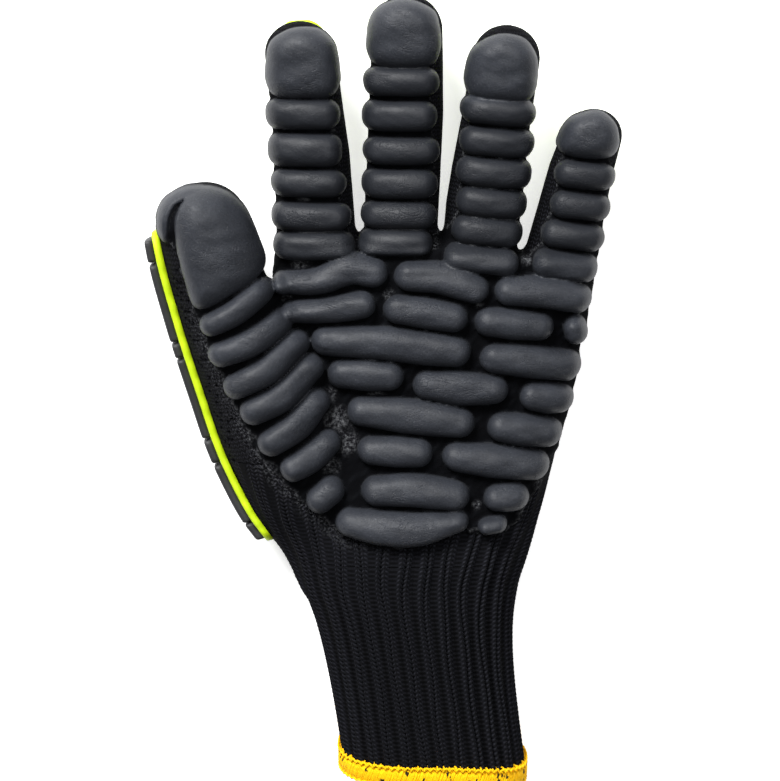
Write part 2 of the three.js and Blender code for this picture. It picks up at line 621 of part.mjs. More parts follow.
function thumbCoating(grow) {
  const bars = THUMB_BARS.map(({ at, from, to, skew, width }) =>
    barSolid(barRound(thumb, thumb.length * (1 - at), from, to, skew * THUMB_WIDTH), BAR_WIDTH * width, grow),
  );
  return union([
    filmOn(thumb, thumbFilmStart, thumb.round, grow),
    padSolid(thumb, thumb.length * THUMB_PAD, grow),
    ...bars,
  ]);
}

// Where a finger's own film ends and the palm's begins, along the finger
const filmStart = (finger) => {
  const pitch = ((finger.last - finger.first) * finger.length) / (finger.bars - 1);
  return finger.length * (1 - finger.last) - pitch * 0.55;
};
const thumbFilmStart = thumb.length * (1 - THUMB_BARS[THUMB_BARS.length - 1].at) - BAR_WIDTH * 0.6;
const filmOfFingers = union([
  ...fingers.map((finger) => finger.limb.solid(FILM + GAP).intersect(past(finger.limb, filmStart(finger) - GAP))),
  thumb.solid(FILM + GAP).intersect(past(thumb, thumbFilmStart - GAP)),
]);

function palmCoating() {
  const outline = new THREE.Shape(FILM_OUTLINE.map(([a, b]) => new THREE.Vector2(acrossHand(a), alongPalm(b))));
  const prism = new THREE.ExtrudeGeometry(outline, { depth: PALM_DEPTH * 3, bevelEnabled: false });
  prism.translate(0, 0, PALM_DEPTH * FILM_EDGE_HEIGHT);
  const film = glove(FILM).intersect(solidOf(prism)).subtract(filmOfFingers);
  const bars = PALM_BARS.map((bar) => barSolid(barOnPalm(bar), BAR_WIDTH * bar.width, 0));
  return union([film, ...bars]);
}

const coatings = fingers.map((finger) => [`coating_${finger.name}`, fingerCoating(finger, 0).subtract(clearOfKnit)]);
coatings.push(["coating_thumb", thumbCoating(0).subtract(clearOfKnit)]);
const coatingSpaces = union([...fingers.map((finger) => fingerCoating(finger, GAP)), thumbCoating(GAP)]);
coatings.push(["coating_palm", palmCoating().subtract(clearOfKnit).subtract(coatingSpaces)]);

// A guard is a bright base with a row of dark blocks on it, along one side of a limb. Both bend
// where the limb does, which keeps them clear of each other and of the knit.
const BEND = 0.5; // where a guard bends between its middle and its edges
function guard(name, tube, from, to, middle, width, shares, bareEnd) {
  const radius = tube.halfWidth((from + to) / 2);
  const half = width / 2 / radius / DEGREE;
  const at = (share) => THREE.MathUtils.lerp(from + BLOCK_INSET, to - BLOCK_INSET - bareEnd, share);
  const between = (low, high) => tube.places.filter((along) => along > low && along < high);
  const base = patch(
    tube,
    [
      { along: from, half: half * 0.7 },
      ...[from + 2, ...between(from + 2, to - 2), to - 2].map((along) => ({ along, half })),
      { along: to, half: half * 0.7 },
    ],
    middle, GUARD_SEAT, GUARD_SEAT + GUARD_BASE, [-1, -BEND, 0, BEND, 1],
  );
  const inset = BLOCK_INSET / radius / DEGREE;
  const seat = GUARD_SEAT + GUARD_BASE + GAP;
  let used = 0;
  const blocks = shares.map((share, k) => {
    const low = at(used) + BLOCK_SPACE / 2;
    used += share;
    const high = at(used) - BLOCK_SPACE / 2;
    const rows = [low, ...between(low, high), high].map((along) => ({ along, half: half - inset }));
    const bend = (BEND * half) / (half - inset);
    return [`${name}_block_${k + 1}`, patch(tube, rows, middle, seat, seat + GUARD_BLOCK, [-1, -bend, 0, bend, 1])];
  });
  return [[`${name}_base`, base], ...blocks];
}

const guards = fingers.flatMap((finger) => {
  const { round, tipRadius } = finger.limb;
  const to = round + tipRadius * finger.guardRise * DEGREE;
  return guard(
    `guard_${finger.name}`, finger.limb, FINGER_GUARD_START * finger.length, to, finger.guardAngle,
    (FINGER_GUARD_WIDTH * finger.width) / INDEX_WIDTH, FINGER_BLOCKS, FINGER_BARE_END,
  );
});
guards.push(
  ...guard(
    "guard_thumb", thumb, THUMB_GUARD.from * thumb.length, THUMB_GUARD.to * thumb.length,
    THUMB_GUARD.middle, THUMB_GUARD_WIDTH, [...THUMB_BLOCKS].reverse(), 0,
  ),
);

// Materials
const knit = new THREE.MeshStandardMaterial({ color: 0x17171a, roughness: 0.95, metalness: 0 });
const rubber = new THREE.MeshStandardMaterial({ color: 0x3b3e44, roughness: 0.6, metalness: 0 });
const brightRubber = new THREE.MeshStandardMaterial({ color: 0xd2f00a, roughness: 0.5, metalness: 0 });
const darkRubber = new THREE.MeshStandardMaterial({ color: 0x2f3032, roughness: 0.55, metalness: 0 });
const thread = new THREE.MeshStandardMaterial({ color: 0xf2b90c, roughness: 0.8, metalness: 0 });

const part = new THREE.Group();
const FACET_TOLERANCE = 0.03; // facets this near to flat are joined into one
function add(name, solid, material) {
  const mesh = largest(solid.simplify(FACET_TOLERANCE)).getMesh();
  const geometry = new THREE.BufferGeometry();
  geometry.setAttribute("position", new THREE.BufferAttribute(new Float32Array(mesh.vertProperties), 3));
  geometry.setIndex(new THREE.BufferAttribute(new Uint32Array(mesh.triVerts), 1));
  const made = new THREE.Mesh(geometry, material);
  made.name = name;
  part.add(made);
}

add("knit_hand", knitHand, knit);
add("knit_cuff", knitCuff, knit);
for (const [name, solid] of knitTubes) add(name, solid, knit);
add("cuff_hem", hemSolid(), thread);
for (const [name, solid] of coatings) add(name, solid, rubber);
for (const [name, solid] of guards) add(name, solid, name.endsWith("base") ? brightRubber : darkRubber);

export default part;
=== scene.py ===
"""The look of a left-hand anti-vibration work glove, dressed over its CAD frame.

Shapes are worked out in millimetres and written to Blender in metres. +Z is the way the palm faces,
+Y runs from the cuff to the fingertips and +X from the thumb to the little finger.
The knit and the rubber are distance fields turned into meshes, so that fingers, thumb, film and
padded bars run into each other as the moulded and knitted ones do.
"""

import math

import bmesh
import bpy
import numpy as np
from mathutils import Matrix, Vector


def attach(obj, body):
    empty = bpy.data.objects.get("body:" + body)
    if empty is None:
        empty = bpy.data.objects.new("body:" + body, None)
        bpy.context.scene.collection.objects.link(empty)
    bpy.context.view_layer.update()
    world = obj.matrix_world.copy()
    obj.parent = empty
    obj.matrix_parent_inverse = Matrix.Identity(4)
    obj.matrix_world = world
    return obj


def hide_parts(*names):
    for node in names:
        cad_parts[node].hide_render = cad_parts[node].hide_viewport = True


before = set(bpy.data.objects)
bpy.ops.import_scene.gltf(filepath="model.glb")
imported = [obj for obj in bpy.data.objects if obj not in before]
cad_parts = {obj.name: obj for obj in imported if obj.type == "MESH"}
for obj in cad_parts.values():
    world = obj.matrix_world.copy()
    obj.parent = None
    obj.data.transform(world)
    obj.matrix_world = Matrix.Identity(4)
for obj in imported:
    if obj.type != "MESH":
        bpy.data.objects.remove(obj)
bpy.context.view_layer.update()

# sizes in mm, as in the CAD part
KNIT, FILM, GAP = 1.8, 0.6, 0.3
BAR_HEIGHT, PAD_HEIGHT = 5.5, 6.0
GUARD_BASE, GUARD_BLOCK, GUARD_SEAT = 2.0, 2.3, 0.45
FINGER_GUARD_WIDTH, THUMB_GUARD_WIDTH = 16.0, 21.0
THUMB_WIDTH, THUMB_LENGTH = 33.0, 135.0
TIP_LIFT = 5.0
PALM_LENGTH, PALM_DEPTH = 105.0, 30.0
CUFF_LENGTH, CUFF_WIDTH, CUFF_DEPTH, CUFF_LEAN, CUFF_SLANT = 62.0, 61.0, 38.0, 8.5, 5.0
FLATTENING, BODY_POWER, LIMB_POWER = 1.5, 2.5, 2.2
FINGER_DEPTH, TIP_TAPER, ROOT_DEPTH, FINGER_TIP = 0.87, 0.89, 0.35, 0.46

# Each finger's width, length, space before it, root as a share of the palm's length, lean and roll in
# degrees, how far its guard rises round the tip, the guard's angle, and how softly it joins the hand
FINGER_COLUMNS = ("name", "width", "length", "before", "root", "lean", "roll", "rise", "back", "web")
FINGER_ROWS = [
    ("index", 23.5, 70.5, -0.4, 0.988, -3.0, -11, 48, 194, 4.0),
    ("middle", 23.5, 77.5, 4.4, 1.0, 1.4, -8, 38, 180, 4.0),
    ("ring", 23.0, 71.0, 2.8, 0.975, 6.4, 4, 22, 176, 4.0),
    ("little", 19.5, 50.0, 6.2, 0.925, 11.2, 8, 22, 171, 4.5),
]
FINGERS = [dict(zip(FINGER_COLUMNS, row)) for row in FINGER_ROWS]
FINGER_NAMES = tuple(f["name"] for f in FINGERS)
LIMBS = ("thumb",) + FINGER_NAMES
# How far the loose knit stands out at the finger's left and right: length along it, left, right
FLANKS = {
    "index": [(0, 0.0, 2.0), (28, 0.0, 1.9), (42, 0.0, 0.9), (56, 1.3, 0.1), (64, 1.7, -0.2)],
    "middle": [(0, 0.0, 0.1), (20, 0.0, 1.0), (40, 0.0, 1.7), (60, 0.0, 1.3), (72, 0.0, 1.0)],
    "ring": [(0, 0.8, 0.0), (12, 1.5, 0.0), (24, 1.2, 0.0), (40, 0.3, 0.3), (60, -0.5, 1.2)],
    "little": [(0, 3.9, 0.0), (15, 3.1, 0.0), (30, 2.4, 0.0), (40, 0.9, 0.6), (48, 0.0, 0.9)],
}
HAND_WIDTH = sum(f["width"] + f["before"] for f in FINGERS)
HAND_LEFT = -0.338 * HAND_WIDTH
WRIST_Y = -0.543 * PALM_LENGTH
HEM_Y = WRIST_Y - CUFF_LENGTH
GUARD_STACK = GUARD_SEAT + GUARD_BASE + GAP + GUARD_BLOCK

# Sections of the hand: along the palm, left and right edge across the hand, and depth, all as shares
HAND_SECTIONS = [
    (0.0, 0.045, 0.787, 1.22),
    (0.18, 0.045, 0.84, 1.1),
    (0.36, 0.035, 0.888, 1.0),
    (0.54, 0.0, 0.936, 0.96),
    (0.72, -0.03, 0.958, 0.97),
    (0.88, -0.012, 0.972, 0.93),
    (0.96, 0.012, 0.965, 0.74),
    (1.0, 0.03, 0.955, 0.42),
]
# Sections of the cuff: down as a share of its length, then shares of its width and depth
CUFF_SECTIONS = [
    (1.16, 1.0, 1.03),
    (1.0, 0.99, 1.02),
    (0.62, 1.0, 0.99),
    (0.34, 1.06, 0.98),
    (0.13, 1.18, 0.97),
]
CUFF_MIDDLE = 0.398
DRAWN_IN = [(3, 0.3), (4, 1.1), (5, 0.9)]  # sections whose left side the tight knit draws in, and how far
WEB_START, WEB_FALL = 24.0, 0.3  # past this x the hand's upper edge falls by this share
BODY_TOP_ROUND, BODY_FLOOR_ROUND = 4.0, 1.2

# The thumb's middle line from the wrist as shares of its length, and its width and depth as shares of its width
THUMB_LINE = [
    (0.0, 0.0, 0.0, 0.5, 0.56),
    (-0.046, 0.15, 0.0, 0.93, 0.88),
    (-0.121, 0.32, 0.008, 1.0, 0.95),
    (-0.172, 0.475, 0.023, 1.0, 0.93),
    (-0.23, 0.646, 0.045, 0.95, 0.85),
    (-0.274, 0.795, 0.064, 0.88, 0.78),
    (-0.296, 0.945, 0.072, 0.85, 0.72),
]
THUMB_START = (0.142, -0.04, 0.57)  # shares across the hand, along the palm and of its depth
THUMB_ROLL = 26.0
THUMB_TIP = THUMB_WIDTH * 0.38
THUMB_ROUND = THUMB_LENGTH - THUMB_TIP
THUMB_WEB = 6.0

F = np.float32


def across_hand(share):
    return HAND_LEFT + share * HAND_WIDTH


def along_palm(share):
    return WRIST_Y + share * PALM_LENGTH


def column(xs, vs, x):
    """Smooth interpolation of a table's column."""
    xs, vs = np.asarray(xs, float), np.asarray(vs, float)
    x = np.asarray(x, float)
    n = len(xs)
    i = np.clip(np.searchsorted(xs, x, side="left") - 1, 0, n - 2)
    up, down = np.minimum(np.arange(n) + 1, n - 1), np.maximum(np.arange(n) - 1, 0)
    slope = (vs[up] - vs[down]) / (xs[up] - xs[down])
    span = xs[i + 1] - xs[i]
    t = np.clip((x - xs[i]) / span, 0, 1)
    start = vs[i] * (2 * t**3 - 3 * t**2 + 1) + slope[i] * span * (t**3 - 2 * t**2 + t)
    return start + vs[i + 1] * (3 * t**2 - 2 * t**3) + slope[i + 1] * span * (t**3 - t**2)


def smin(a, b, k):
    h = np.maximum(k - np.abs(a - b), 0)
    return np.minimum(a, b) - h * h / (4 * k)


def smax(a, b, k):
    return -smin(-a, -b, k)


def blunt(v, power):
    """A sine or cosine squared off by a power below 1, or with its sign kept by any other."""
    return np.sign(v) * np.abs(v) ** power


def unit(v):
    return v / np.linalg.norm(v, axis=-1, keepdims=True)


# the hand and cuff as one tube
def cuff_row(down, width, depth):
    middle = across_hand(CUFF_MIDDLE) + math.tan(math.radians(CUFF_LEAN)) * down * CUFF_LENGTH
    half = width * CUFF_WIDTH / 2
    return WRIST_Y - down * CUFF_LENGTH, middle - half, middle + half, depth * CUFF_DEPTH


def hand_row(along, left, right, depth):
    return along_palm(along), across_hand(left), across_hand(right), depth * PALM_DEPTH


BODY = np.array([cuff_row(*row) for row in CUFF_SECTIONS] + [hand_row(*row) for row in HAND_SECTIONS])
for row, by in DRAWN_IN:
    BODY[row, 1] += by
TOP_Y = BODY[-1, 0]


def body_section(y):
    """Middle across and up, half width and half depth of the hand or cuff."""
    left, right, depth = (column(BODY[:, 0], BODY[:, c], y) for c in (1, 2, 3))
    lift = np.maximum(0, (np.asarray(y, float) - along_palm(0.9)) / (PALM_LENGTH * 0.1)) * BODY[-1, 3] / 2
    full = depth + FLATTENING
    return (left + right) / 2, full / 2 - FLATTENING + lift, (right - left) / 2, full / 2


def gauge(u, w, half_width, half_depth, power):
    """Superellipse gauge, 1 on the outline, and the length of its gradient."""
    a, b = np.abs(u) / half_width, np.abs(w) / half_depth
    g = np.maximum((a**power + b**power) ** (1 / power), 1e-4)
    ga, gb = (a / g) ** (power - 1) / half_width, (b / g) ** (power - 1) / half_depth
    return g, np.sqrt(ga * ga + gb * gb)


def body_distance(x, y, z):
    cx, cz, hw, hd = (v.astype(F) for v in body_section(y))
    g, slope = gauge(x - cx, z - cz, hw, hd, BODY_POWER)
    top = TOP_Y - WEB_FALL * np.maximum(x - WEB_START, 0)
    d = smax((g - 1) / slope, np.asarray(y - top, F), BODY_TOP_ROUND)
    return smax(d, -z, BODY_FLOOR_ROUND)


def capped(g, slope, past, tip):
    """Distance from a limb of a given gauge, rounded off over its tip."""
    c = np.maximum(past, 0) / tip
    full = np.sqrt(g * g + c * c)
    return (full - 1) / np.sqrt((g / full * slope) ** 2 + (c / full / tip) ** 2)


# fingers
next_x = HAND_LEFT
for f in FINGERS:
    middle_x = next_x + f["before"] + f["width"] / 2
    next_x = middle_x + f["width"] / 2
    f["base"] = (middle_x, along_palm(f["root"]), GUARD_STACK + f["width"] * FINGER_DEPTH / 2)
    f["tip_radius"] = f["width"] * FINGER_TIP
    f["round"] = f["length"] - f["tip_radius"]
    f["sin"], f["cos"] = math.sin(math.radians(f["lean"])), math.cos(math.radians(f["lean"]))


def finger_plan(f, x, y):
    """Place along the finger and across it, in plan."""
    dx, dy = x - f["base"][0], y - f["base"][1]
    return dx * f["sin"] + dy * f["cos"], dx * f["cos"] - dy * f["sin"]


def finger_lift(f, s):
    return TIP_LIFT * (np.maximum(s, 0) / f["length"]) ** 2


def finger_frame(f, x, y, z):
    """Place along the finger, then sideways and upwards in its rolled section."""
    s, u = finger_plan(f, x, y)
    w = z - f["base"][2] - finger_lift(f, s)
    r = math.radians(f["roll"])
    return s, u * math.cos(r) - w * math.sin(r), u * math.sin(r) + w * math.cos(r)


def finger_half(f, s):
    t = np.clip(s, 0, f["round"]) / f["length"]
    return f["width"] / 2 * (1 + (TIP_TAPER - 1) * t)


def finger_distance(f, x, y, z):
    s, u, w = finger_frame(f, x, y, z)
    half = finger_half(f, s)
    lengths, left, right = np.array(FLANKS[f["name"]]).T
    left, right = np.interp(s, lengths, left).astype(F), np.interp(s, lengths, right).astype(F)
    g, slope = gauge(u - (right - left) / 2, w, half + (right + left) / 2, half * FINGER_DEPTH, LIMB_POWER)
    return np.maximum(capped(g, slope, s - f["round"], f["tip_radius"]), -ROOT_DEPTH * f["length"] - s)


# the thumb, a tube on a curved line
def curve_through(points, per=24, closed=False):
    """Centripetal Catmull-Rom curve through points."""
    p = np.asarray(points, float)
    if closed:
        p = np.vstack([p[-1], p, p[0], p[1]])
    else:
        p = np.vstack([2 * p[0] - p[1], p, 2 * p[-1] - p[-2]])

    def between(t, low, high, start, end):
        return (high - t) / (high - low) * start + (t - low) / (high - low) * end

    out = []
    for i in range(1, len(p) - 2):
        q = p[i - 1 : i + 3]
        spans = np.maximum(np.linalg.norm(np.diff(q, axis=0), axis=1), 1e-6) ** 0.5
        knot = np.concatenate([[0], np.cumsum(spans)])
        t = np.linspace(knot[1], knot[2], per, endpoint=False)[:, None]
        a = [between(t, knot[k], knot[k + 1], q[k], q[k + 1]) for k in range(3)]
        b = [between(t, knot[k], knot[k + 2], a[k], a[k + 1]) for k in range(2)]
        out.append(between(t, knot[1], knot[2], b[0], b[1]))
    out = np.vstack(out)
    return out if closed else np.vstack([out, p[-2]])


def arc_lengths(line):
    return np.concatenate([[0], np.cumsum(np.linalg.norm(np.diff(line, axis=0), axis=1))])


THUMB_BASE = np.array([across_hand(THUMB_START[0]), along_palm(THUMB_START[1]), THUMB_START[2] * PALM_DEPTH])
THUMB_CURVE = curve_through(np.array([row[:3] for row in THUMB_LINE]) * THUMB_LENGTH + THUMB_BASE, per=40)
THUMB_ARC = arc_lengths(THUMB_CURVE)
THUMB_ARC *= THUMB_LENGTH / THUMB_ARC[-1]


def thumb_spine(s):
    """Points of the thumb's middle line, run on straight at both ends."""
    inside = np.clip(s, 0, THUMB_LENGTH)
    points = np.stack([np.interp(inside, THUMB_ARC, THUMB_CURVE[:, c]) for c in range(3)], axis=1)
    first, last = unit(THUMB_CURVE[3] - THUMB_CURVE[0]), unit(THUMB_CURVE[-1] - THUMB_CURVE[-4])
    return points + np.minimum(s, 0)[:, None] * first + np.maximum(s - THUMB_LENGTH, 0)[:, None] * last


def rolled(ahead, roll):
    """Ways sideways and up round a line that runs ahead, turned by the roll."""
    side = unit(np.cross(ahead, [0, 0, 1.0]))
    r = math.radians(roll)
    side = side * math.cos(r) + np.cross(ahead, side) * math.sin(r)
    return side, np.cross(side, ahead)


THUMB_S = np.linspace(-25, THUMB_LENGTH + 20, 300)
THUMB_C = thumb_spine(THUMB_S)
THUMB_T = unit(thumb_spine(THUMB_S + 1.5) - thumb_spine(THUMB_S - 1.5))
THUMB_SIDE, THUMB_UP = rolled(THUMB_T, THUMB_ROLL)


def thumb_half(c):
    """Half of the thumb's width or depth along it, from a column of its line."""
    shares = np.linspace(0, 1, len(THUMB_LINE))
    along = np.clip(THUMB_S / THUMB_LENGTH, 0, 1)
    return column(shares, [row[c] for row in THUMB_LINE], along) * THUMB_WIDTH / 2


THUMB_HW, THUMB_HD = thumb_half(3), thumb_half(4)


def at_thumb(table, s):
    return np.interp(s, THUMB_S, table).astype(F)


def thumb_frame(x, y, z):
    """Place along the thumb, then sideways and upwards in its section."""
    places = np.broadcast_arrays(x, y, z)

    def measured(way, s):
        return sum((p - at_thumb(THUMB_C[:, c], s)) * at_thumb(way[:, c], s) for c, p in enumerate(places))

    s = np.interp(places[1], THUMB_C[:, 1], THUMB_S).astype(F)
    for _ in range(3):
        s = np.clip(s + measured(THUMB_T, s), THUMB_S[0], THUMB_S[-1])
    return s, measured(THUMB_SIDE, s), measured(THUMB_UP, s)


def thumb_distance(x, y, z):
    s, u, w = thumb_frame(x, y, z)
    inside = np.clip(s, 0, THUMB_ROUND)
    g, slope = gauge(u, w, at_thumb(THUMB_HW, inside), at_thumb(THUMB_HD, inside), LIMB_POWER)
    d = np.maximum(capped(g, slope, s - THUMB_ROUND, THUMB_TIP), -s - 2)
    return smax(d, -z + 0.3, 1.5)


def knit_distance(x, y, z, limbs=LIMBS):
    """Distance from the knit's outer face, positive outside."""
    body = body_distance(x, y, z)
    d = body
    if "thumb" in limbs:
        d = np.minimum(d, smin(body, thumb_distance(x, y, z), THUMB_WEB))
    for f in FINGERS:
        if f["name"] in limbs:
            d = np.minimum(d, smin(body, finger_distance(f, x, y, z), f["web"]))
    return d


# meshes
def wobble(x, y, z, scale, seed):
    """Smooth irregular field of about -1 to 1, from a few slanted waves."""
    rng = np.random.default_rng(seed)
    total = 0
    for _ in range(6):
        k = rng.normal(size=3)
        k *= 2 * math.pi / scale / np.linalg.norm(k) * rng.uniform(0.7, 1.4)
        total = total + np.sin(k[0] * x + k[1] * y + k[2] * z + rng.uniform(0, 6.28))
    return (total / 3.0).astype(F)


def lattice(low, high, step):
    """Places of a grid in plan, and its axes shaped to spread over the whole grid."""
    axes = [np.arange(low[c], high[c], step) for c in range(3)]
    shaped = [axis.astype(F).reshape([-1 if c == k else 1 for k in range(3)]) for c, axis in enumerate(axes)]
    return np.meshgrid(axes[0], axes[1], indexing="ij"), shaped


def surface_net(f, origin, h):
    """Closed quad mesh of the region where the field is negative."""
    inside = f < 0
    corners = [(i, j, k) for i in (0, 1) for j in (0, 1) for k in (0, 1)]
    n = tuple(m - 1 for m in f.shape)
    part = np.zeros(n, np.int8)
    for i, j, k in corners:
        part += inside[i : i + n[0], j : j + n[1], k : k + n[2]]
    cells = np.argwhere((part > 0) & (part < 8))
    index = np.full(n, -1, np.int64)
    index[tuple(cells.T)] = np.arange(len(cells))
    total, count = np.zeros((len(cells), 3)), np.zeros(len(cells))
    values = {c: f[cells[:, 0] + c[0], cells[:, 1] + c[1], cells[:, 2] + c[2]] for c in corners}
    for a in corners:
        for axis in range(3):
            if a[axis]:
                continue
            b = tuple(a[m] + (m == axis) for m in range(3))
            fa, fb = values[a], values[b]
            cross = (fa < 0) != (fb < 0)
            p = np.repeat(np.array(a, float)[None], len(cells), 0)
            p[:, axis] += np.where(cross, fa / np.where(cross, fa - fb, 1), 0)
            total[cross] += p[cross]
            count[cross] += 1
    points = (cells + total / count[:, None]) * h + np.asarray(origin)
    quads = []
    for axis in range(3):
        u, v = (axis + 1) % 3, (axis + 2) % 3
        lo, hi = [slice(None)] * 3, [slice(None)] * 3
        lo[axis], hi[axis] = slice(0, -1), slice(1, None)
        a, b = inside[tuple(lo)], inside[tuple(hi)]
        edges = np.argwhere(a != b)
        edges = edges[(edges[:, u] > 0) & (edges[:, v] > 0) & (edges[:, u] < n[u]) & (edges[:, v] < n[v])]
        out = a[tuple(edges.T)]
        ring = []
        for du, dv in ((1, 1), (0, 1), (0, 0), (1, 0)):
            c = edges.copy()
            c[:, u] -= du
            c[:, v] -= dv
            ring.append(index[tuple(c.T)])
        ring = np.stack(ring, axis=1)
        ring[~out] = ring[~out][:, ::-1]
        quads.append(ring)
    return points, np.vstack(quads)


def grid_faces(rows, columns, closed):
    """Quads of a grid of points that closes across its columns, and along its rows where asked."""
    i, j = np.meshgrid(np.arange(rows if closed else rows - 1), np.arange(columns), indexing="ij")
    beside = (j + 1) % columns
    here, ahead = i * columns, (i + 1) % rows * columns
    return np.stack([here + j, here + beside, ahead + beside, ahead + j], axis=-1).reshape(-1, 4)


def mesh_object(name, points, faces, material, attributes=None):
    """A mesh piece from points in millimetres."""
    mesh = bpy.data.meshes.new(name)
    mesh.vertices.add(len(points))
    mesh.vertices.foreach_set("co", (np.asarray(points) * 0.001).astype(F).ravel())
    mesh.loops.add(faces.size)
    mesh.loops.foreach_set("vertex_index", faces.astype(np.int32).ravel())
    mesh.polygons.add(len(faces))
    mesh.polygons.foreach_set("loop_start", np.arange(0, faces.size, faces.shape[1], dtype=np.int32))
    mesh.polygons.foreach_set("use_smooth", np.full(len(faces), True))
    mesh.update(calc_edges=True)
    mesh.validate()
    for key, values in (attributes or {}).items():
        attribute = mesh.attributes.new(key, "FLOAT", "POINT")
        attribute.data.foreach_set("value", np.asarray(values, F))
    mesh.materials.append(material)
    obj = bpy.data.objects.new(name, mesh)
    bpy.context.scene.collection.objects.link(obj)
    return obj


def turn_outwards(obj):
    """Turn every face outwards."""
    mesh = bmesh.new()
    mesh.from_mesh(obj.data)
    bmesh.ops.recalc_face_normals(mesh, faces=mesh.faces)
    mesh.to_mesh(obj.data)
    mesh.free()


def place(obj, slot, *nodes):
    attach(obj, "root")
    if nodes:
        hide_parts(*nodes)


# materials
class Nodes:
    """Short way to write a node material."""

    def __init__(self, name):
        self.material = bpy.data.materials.new(name)
        self.material.use_nodes = True
        self.tree = self.material.node_tree
        self.place = self.new("ShaderNodeTexCoord").outputs["Object"]

    def new(self, kind, inputs=None, **settings):
        node = self.tree.nodes.new(kind)
        for key, value in settings.items():
            setattr(node, key, value)
        for key, value in (inputs or {}).items():
            self.put(node.inputs[key], value)
        return node

    def put(self, socket, value):
        if isinstance(value, bpy.types.NodeSocket):
            self.tree.links.new(value, socket)
        else:
            socket.default_value = value

    def math(self, operation, *values, clamp=False):
        node = self.new("ShaderNodeMath", dict(enumerate(values)), operation=operation, use_clamp=clamp)
        return node.outputs[0]

    def times(self, a, b):
        return self.math("MULTIPLY", a, b)

    def plus(self, a, b, clamp=False):
        return self.math("ADD", a, b, clamp=clamp)

    def minus(self, a, b, clamp=False):
        return self.math("SUBTRACT", a, b, clamp=clamp)

    def above(self, a, limit):
        return self.math("GREATER_THAN", a, limit)

    def wave(self, turns):
        """A sine wave of 0 to 1 over each turn."""
        return self.math("MULTIPLY_ADD", self.math("SINE", turns), 0.5, 0.5)

    def noise(self, scale, detail=3.0, roughness=0.5, vector=None, distortion=0.0):
        inputs = {"Scale": scale, "Detail": detail, "Roughness": roughness, "Distortion": distortion}
        return self.new("ShaderNodeTexNoise", {**inputs, "Vector": vector or self.place}).outputs["Fac"]

    def attribute(self, name):
        return self.new("ShaderNodeAttribute", attribute_name=name).outputs["Fac"]

    def ramp(self, fac, *stops):
        """Colour by stops, each a place and a colour or a grey."""
        node = self.new("ShaderNodeValToRGB", {"Fac": fac})
        elements = node.color_ramp.elements
        while len(elements) < len(stops):
            elements.new(0.5)
        for element, (at, colour) in zip(elements, stops):
            element.position = at
            element.color = (*colour, 1) if isinstance(colour, tuple) else (colour, colour, colour, 1)
        return node.outputs["Color"]

    def mix(self, fac, a, b, blend="MIX"):
        inputs = {"Factor": fac, "A": a, "B": b}
        return self.new("ShaderNodeMix", inputs, data_type="RGBA", blend_type=blend).outputs["Result"]

    def bump(self, height, strength, distance):
        inputs = {"Height": height, "Strength": strength, "Distance": distance}
        return self.new("ShaderNodeBump", inputs).outputs["Normal"]

    def finish(self, colour, roughness, normal=None, specular=0.5):
        shader = self.tree.nodes["Principled BSDF"].inputs
        self.put(shader["Base Color"], colour)
        self.put(shader["Roughness"], roughness)
        shader["Specular IOR Level"].default_value = specular
        if normal is not None:
            self.put(shader["Normal"], normal)
        return self.material


def coating_material(name, specular):
    m = Nodes(name)
    fine, grain = m.noise(1500, 3, 0.6), m.noise(1050, 3, 0.65)
    wrinkle = m.noise(420, 4, 0.62, distortion=0.6)
    hollow = m.attribute("hollow")
    # short creases, mostly across the hand, in patches
    wide = m.new("ShaderNodeMapping", {"Scale": (0.55, 1.7, 1.0), "Vector": m.place}).outputs["Vector"]
    crease = m.math("ABSOLUTE", m.minus(m.noise(240, 3, 0.55, wide, 1.6), 0.5))
    crease = m.minus(1.0, m.times(crease, 26.0), clamp=True)
    crease = m.times(crease, m.ramp(m.noise(75, 2), (0.5, 0.0), (0.62, 1.0)))
    pits = m.new("ShaderNodeTexVoronoi", {"Scale": 430.0, "Randomness": 1.0, "Vector": m.place}, feature="F1")
    pit = m.math("LESS_THAN", pits.outputs["Distance"], 0.17)
    pit = m.times(pit, m.math("LESS_THAN", m.noise(260, 2), 0.42))
    cloud = m.ramp(m.noise(90, 4, 0.55), (0.3, (0.0180, 0.0199, 0.0250)), (0.7, (0.0255, 0.0282, 0.0352)))
    colour = m.mix(1.0, cloud, m.ramp(fine, (0.35, 0.8), (0.72, 1.15)), "MULTIPLY")
    dust = m.times(m.above(m.noise(2100, 1), 0.70), m.above(m.noise(130, 2), 0.47))
    colour = m.mix(m.times(dust, 0.25), colour, (0.11, 0.115, 0.12, 1))
    # the fingers' bars get painted shade, darker than the palm's, and the hollows between bars get painted
    # shade, dull and dark
    colour = m.mix(m.attribute("finger_bar_shade"), colour, (0.0095, 0.0106, 0.0136, 1))
    # painted shade: the hollows between the bars go towards near black
    colour = m.mix(m.math("POWER", hollow, 0.9), colour, (0.0016, 0.0017, 0.0022, 1))
    # where only the film lies over the knit, the knit's grain comes through
    low, middle, high = (0.004, 0.004, 0.005), (0.030, 0.031, 0.034), (0.10, 0.103, 0.108)
    grainy = m.ramp(grain, (0.40, low), (0.52, middle), (0.68, high))
    thin = m.times(m.attribute("film"), m.ramp(m.noise(300, 3), (0.30, 0.0), (0.46, 1.0)))
    colour = m.mix(thin, colour, grainy)
    rough = m.plus(m.math("MULTIPLY_ADD", wrinkle, 0.2, 0.43), m.times(hollow, 0.4), clamp=True)
    height = m.math("MULTIPLY_ADD", wrinkle, 0.62, m.times(fine, 0.3))
    height = m.minus(m.minus(height, m.times(pit, 0.5)), m.times(crease, 0.42))
    height = m.plus(height, m.times(m.times(grain, thin), 1.1))
    return m.finish(colour, rough, m.bump(height, 0.5, 0.00045), specular)


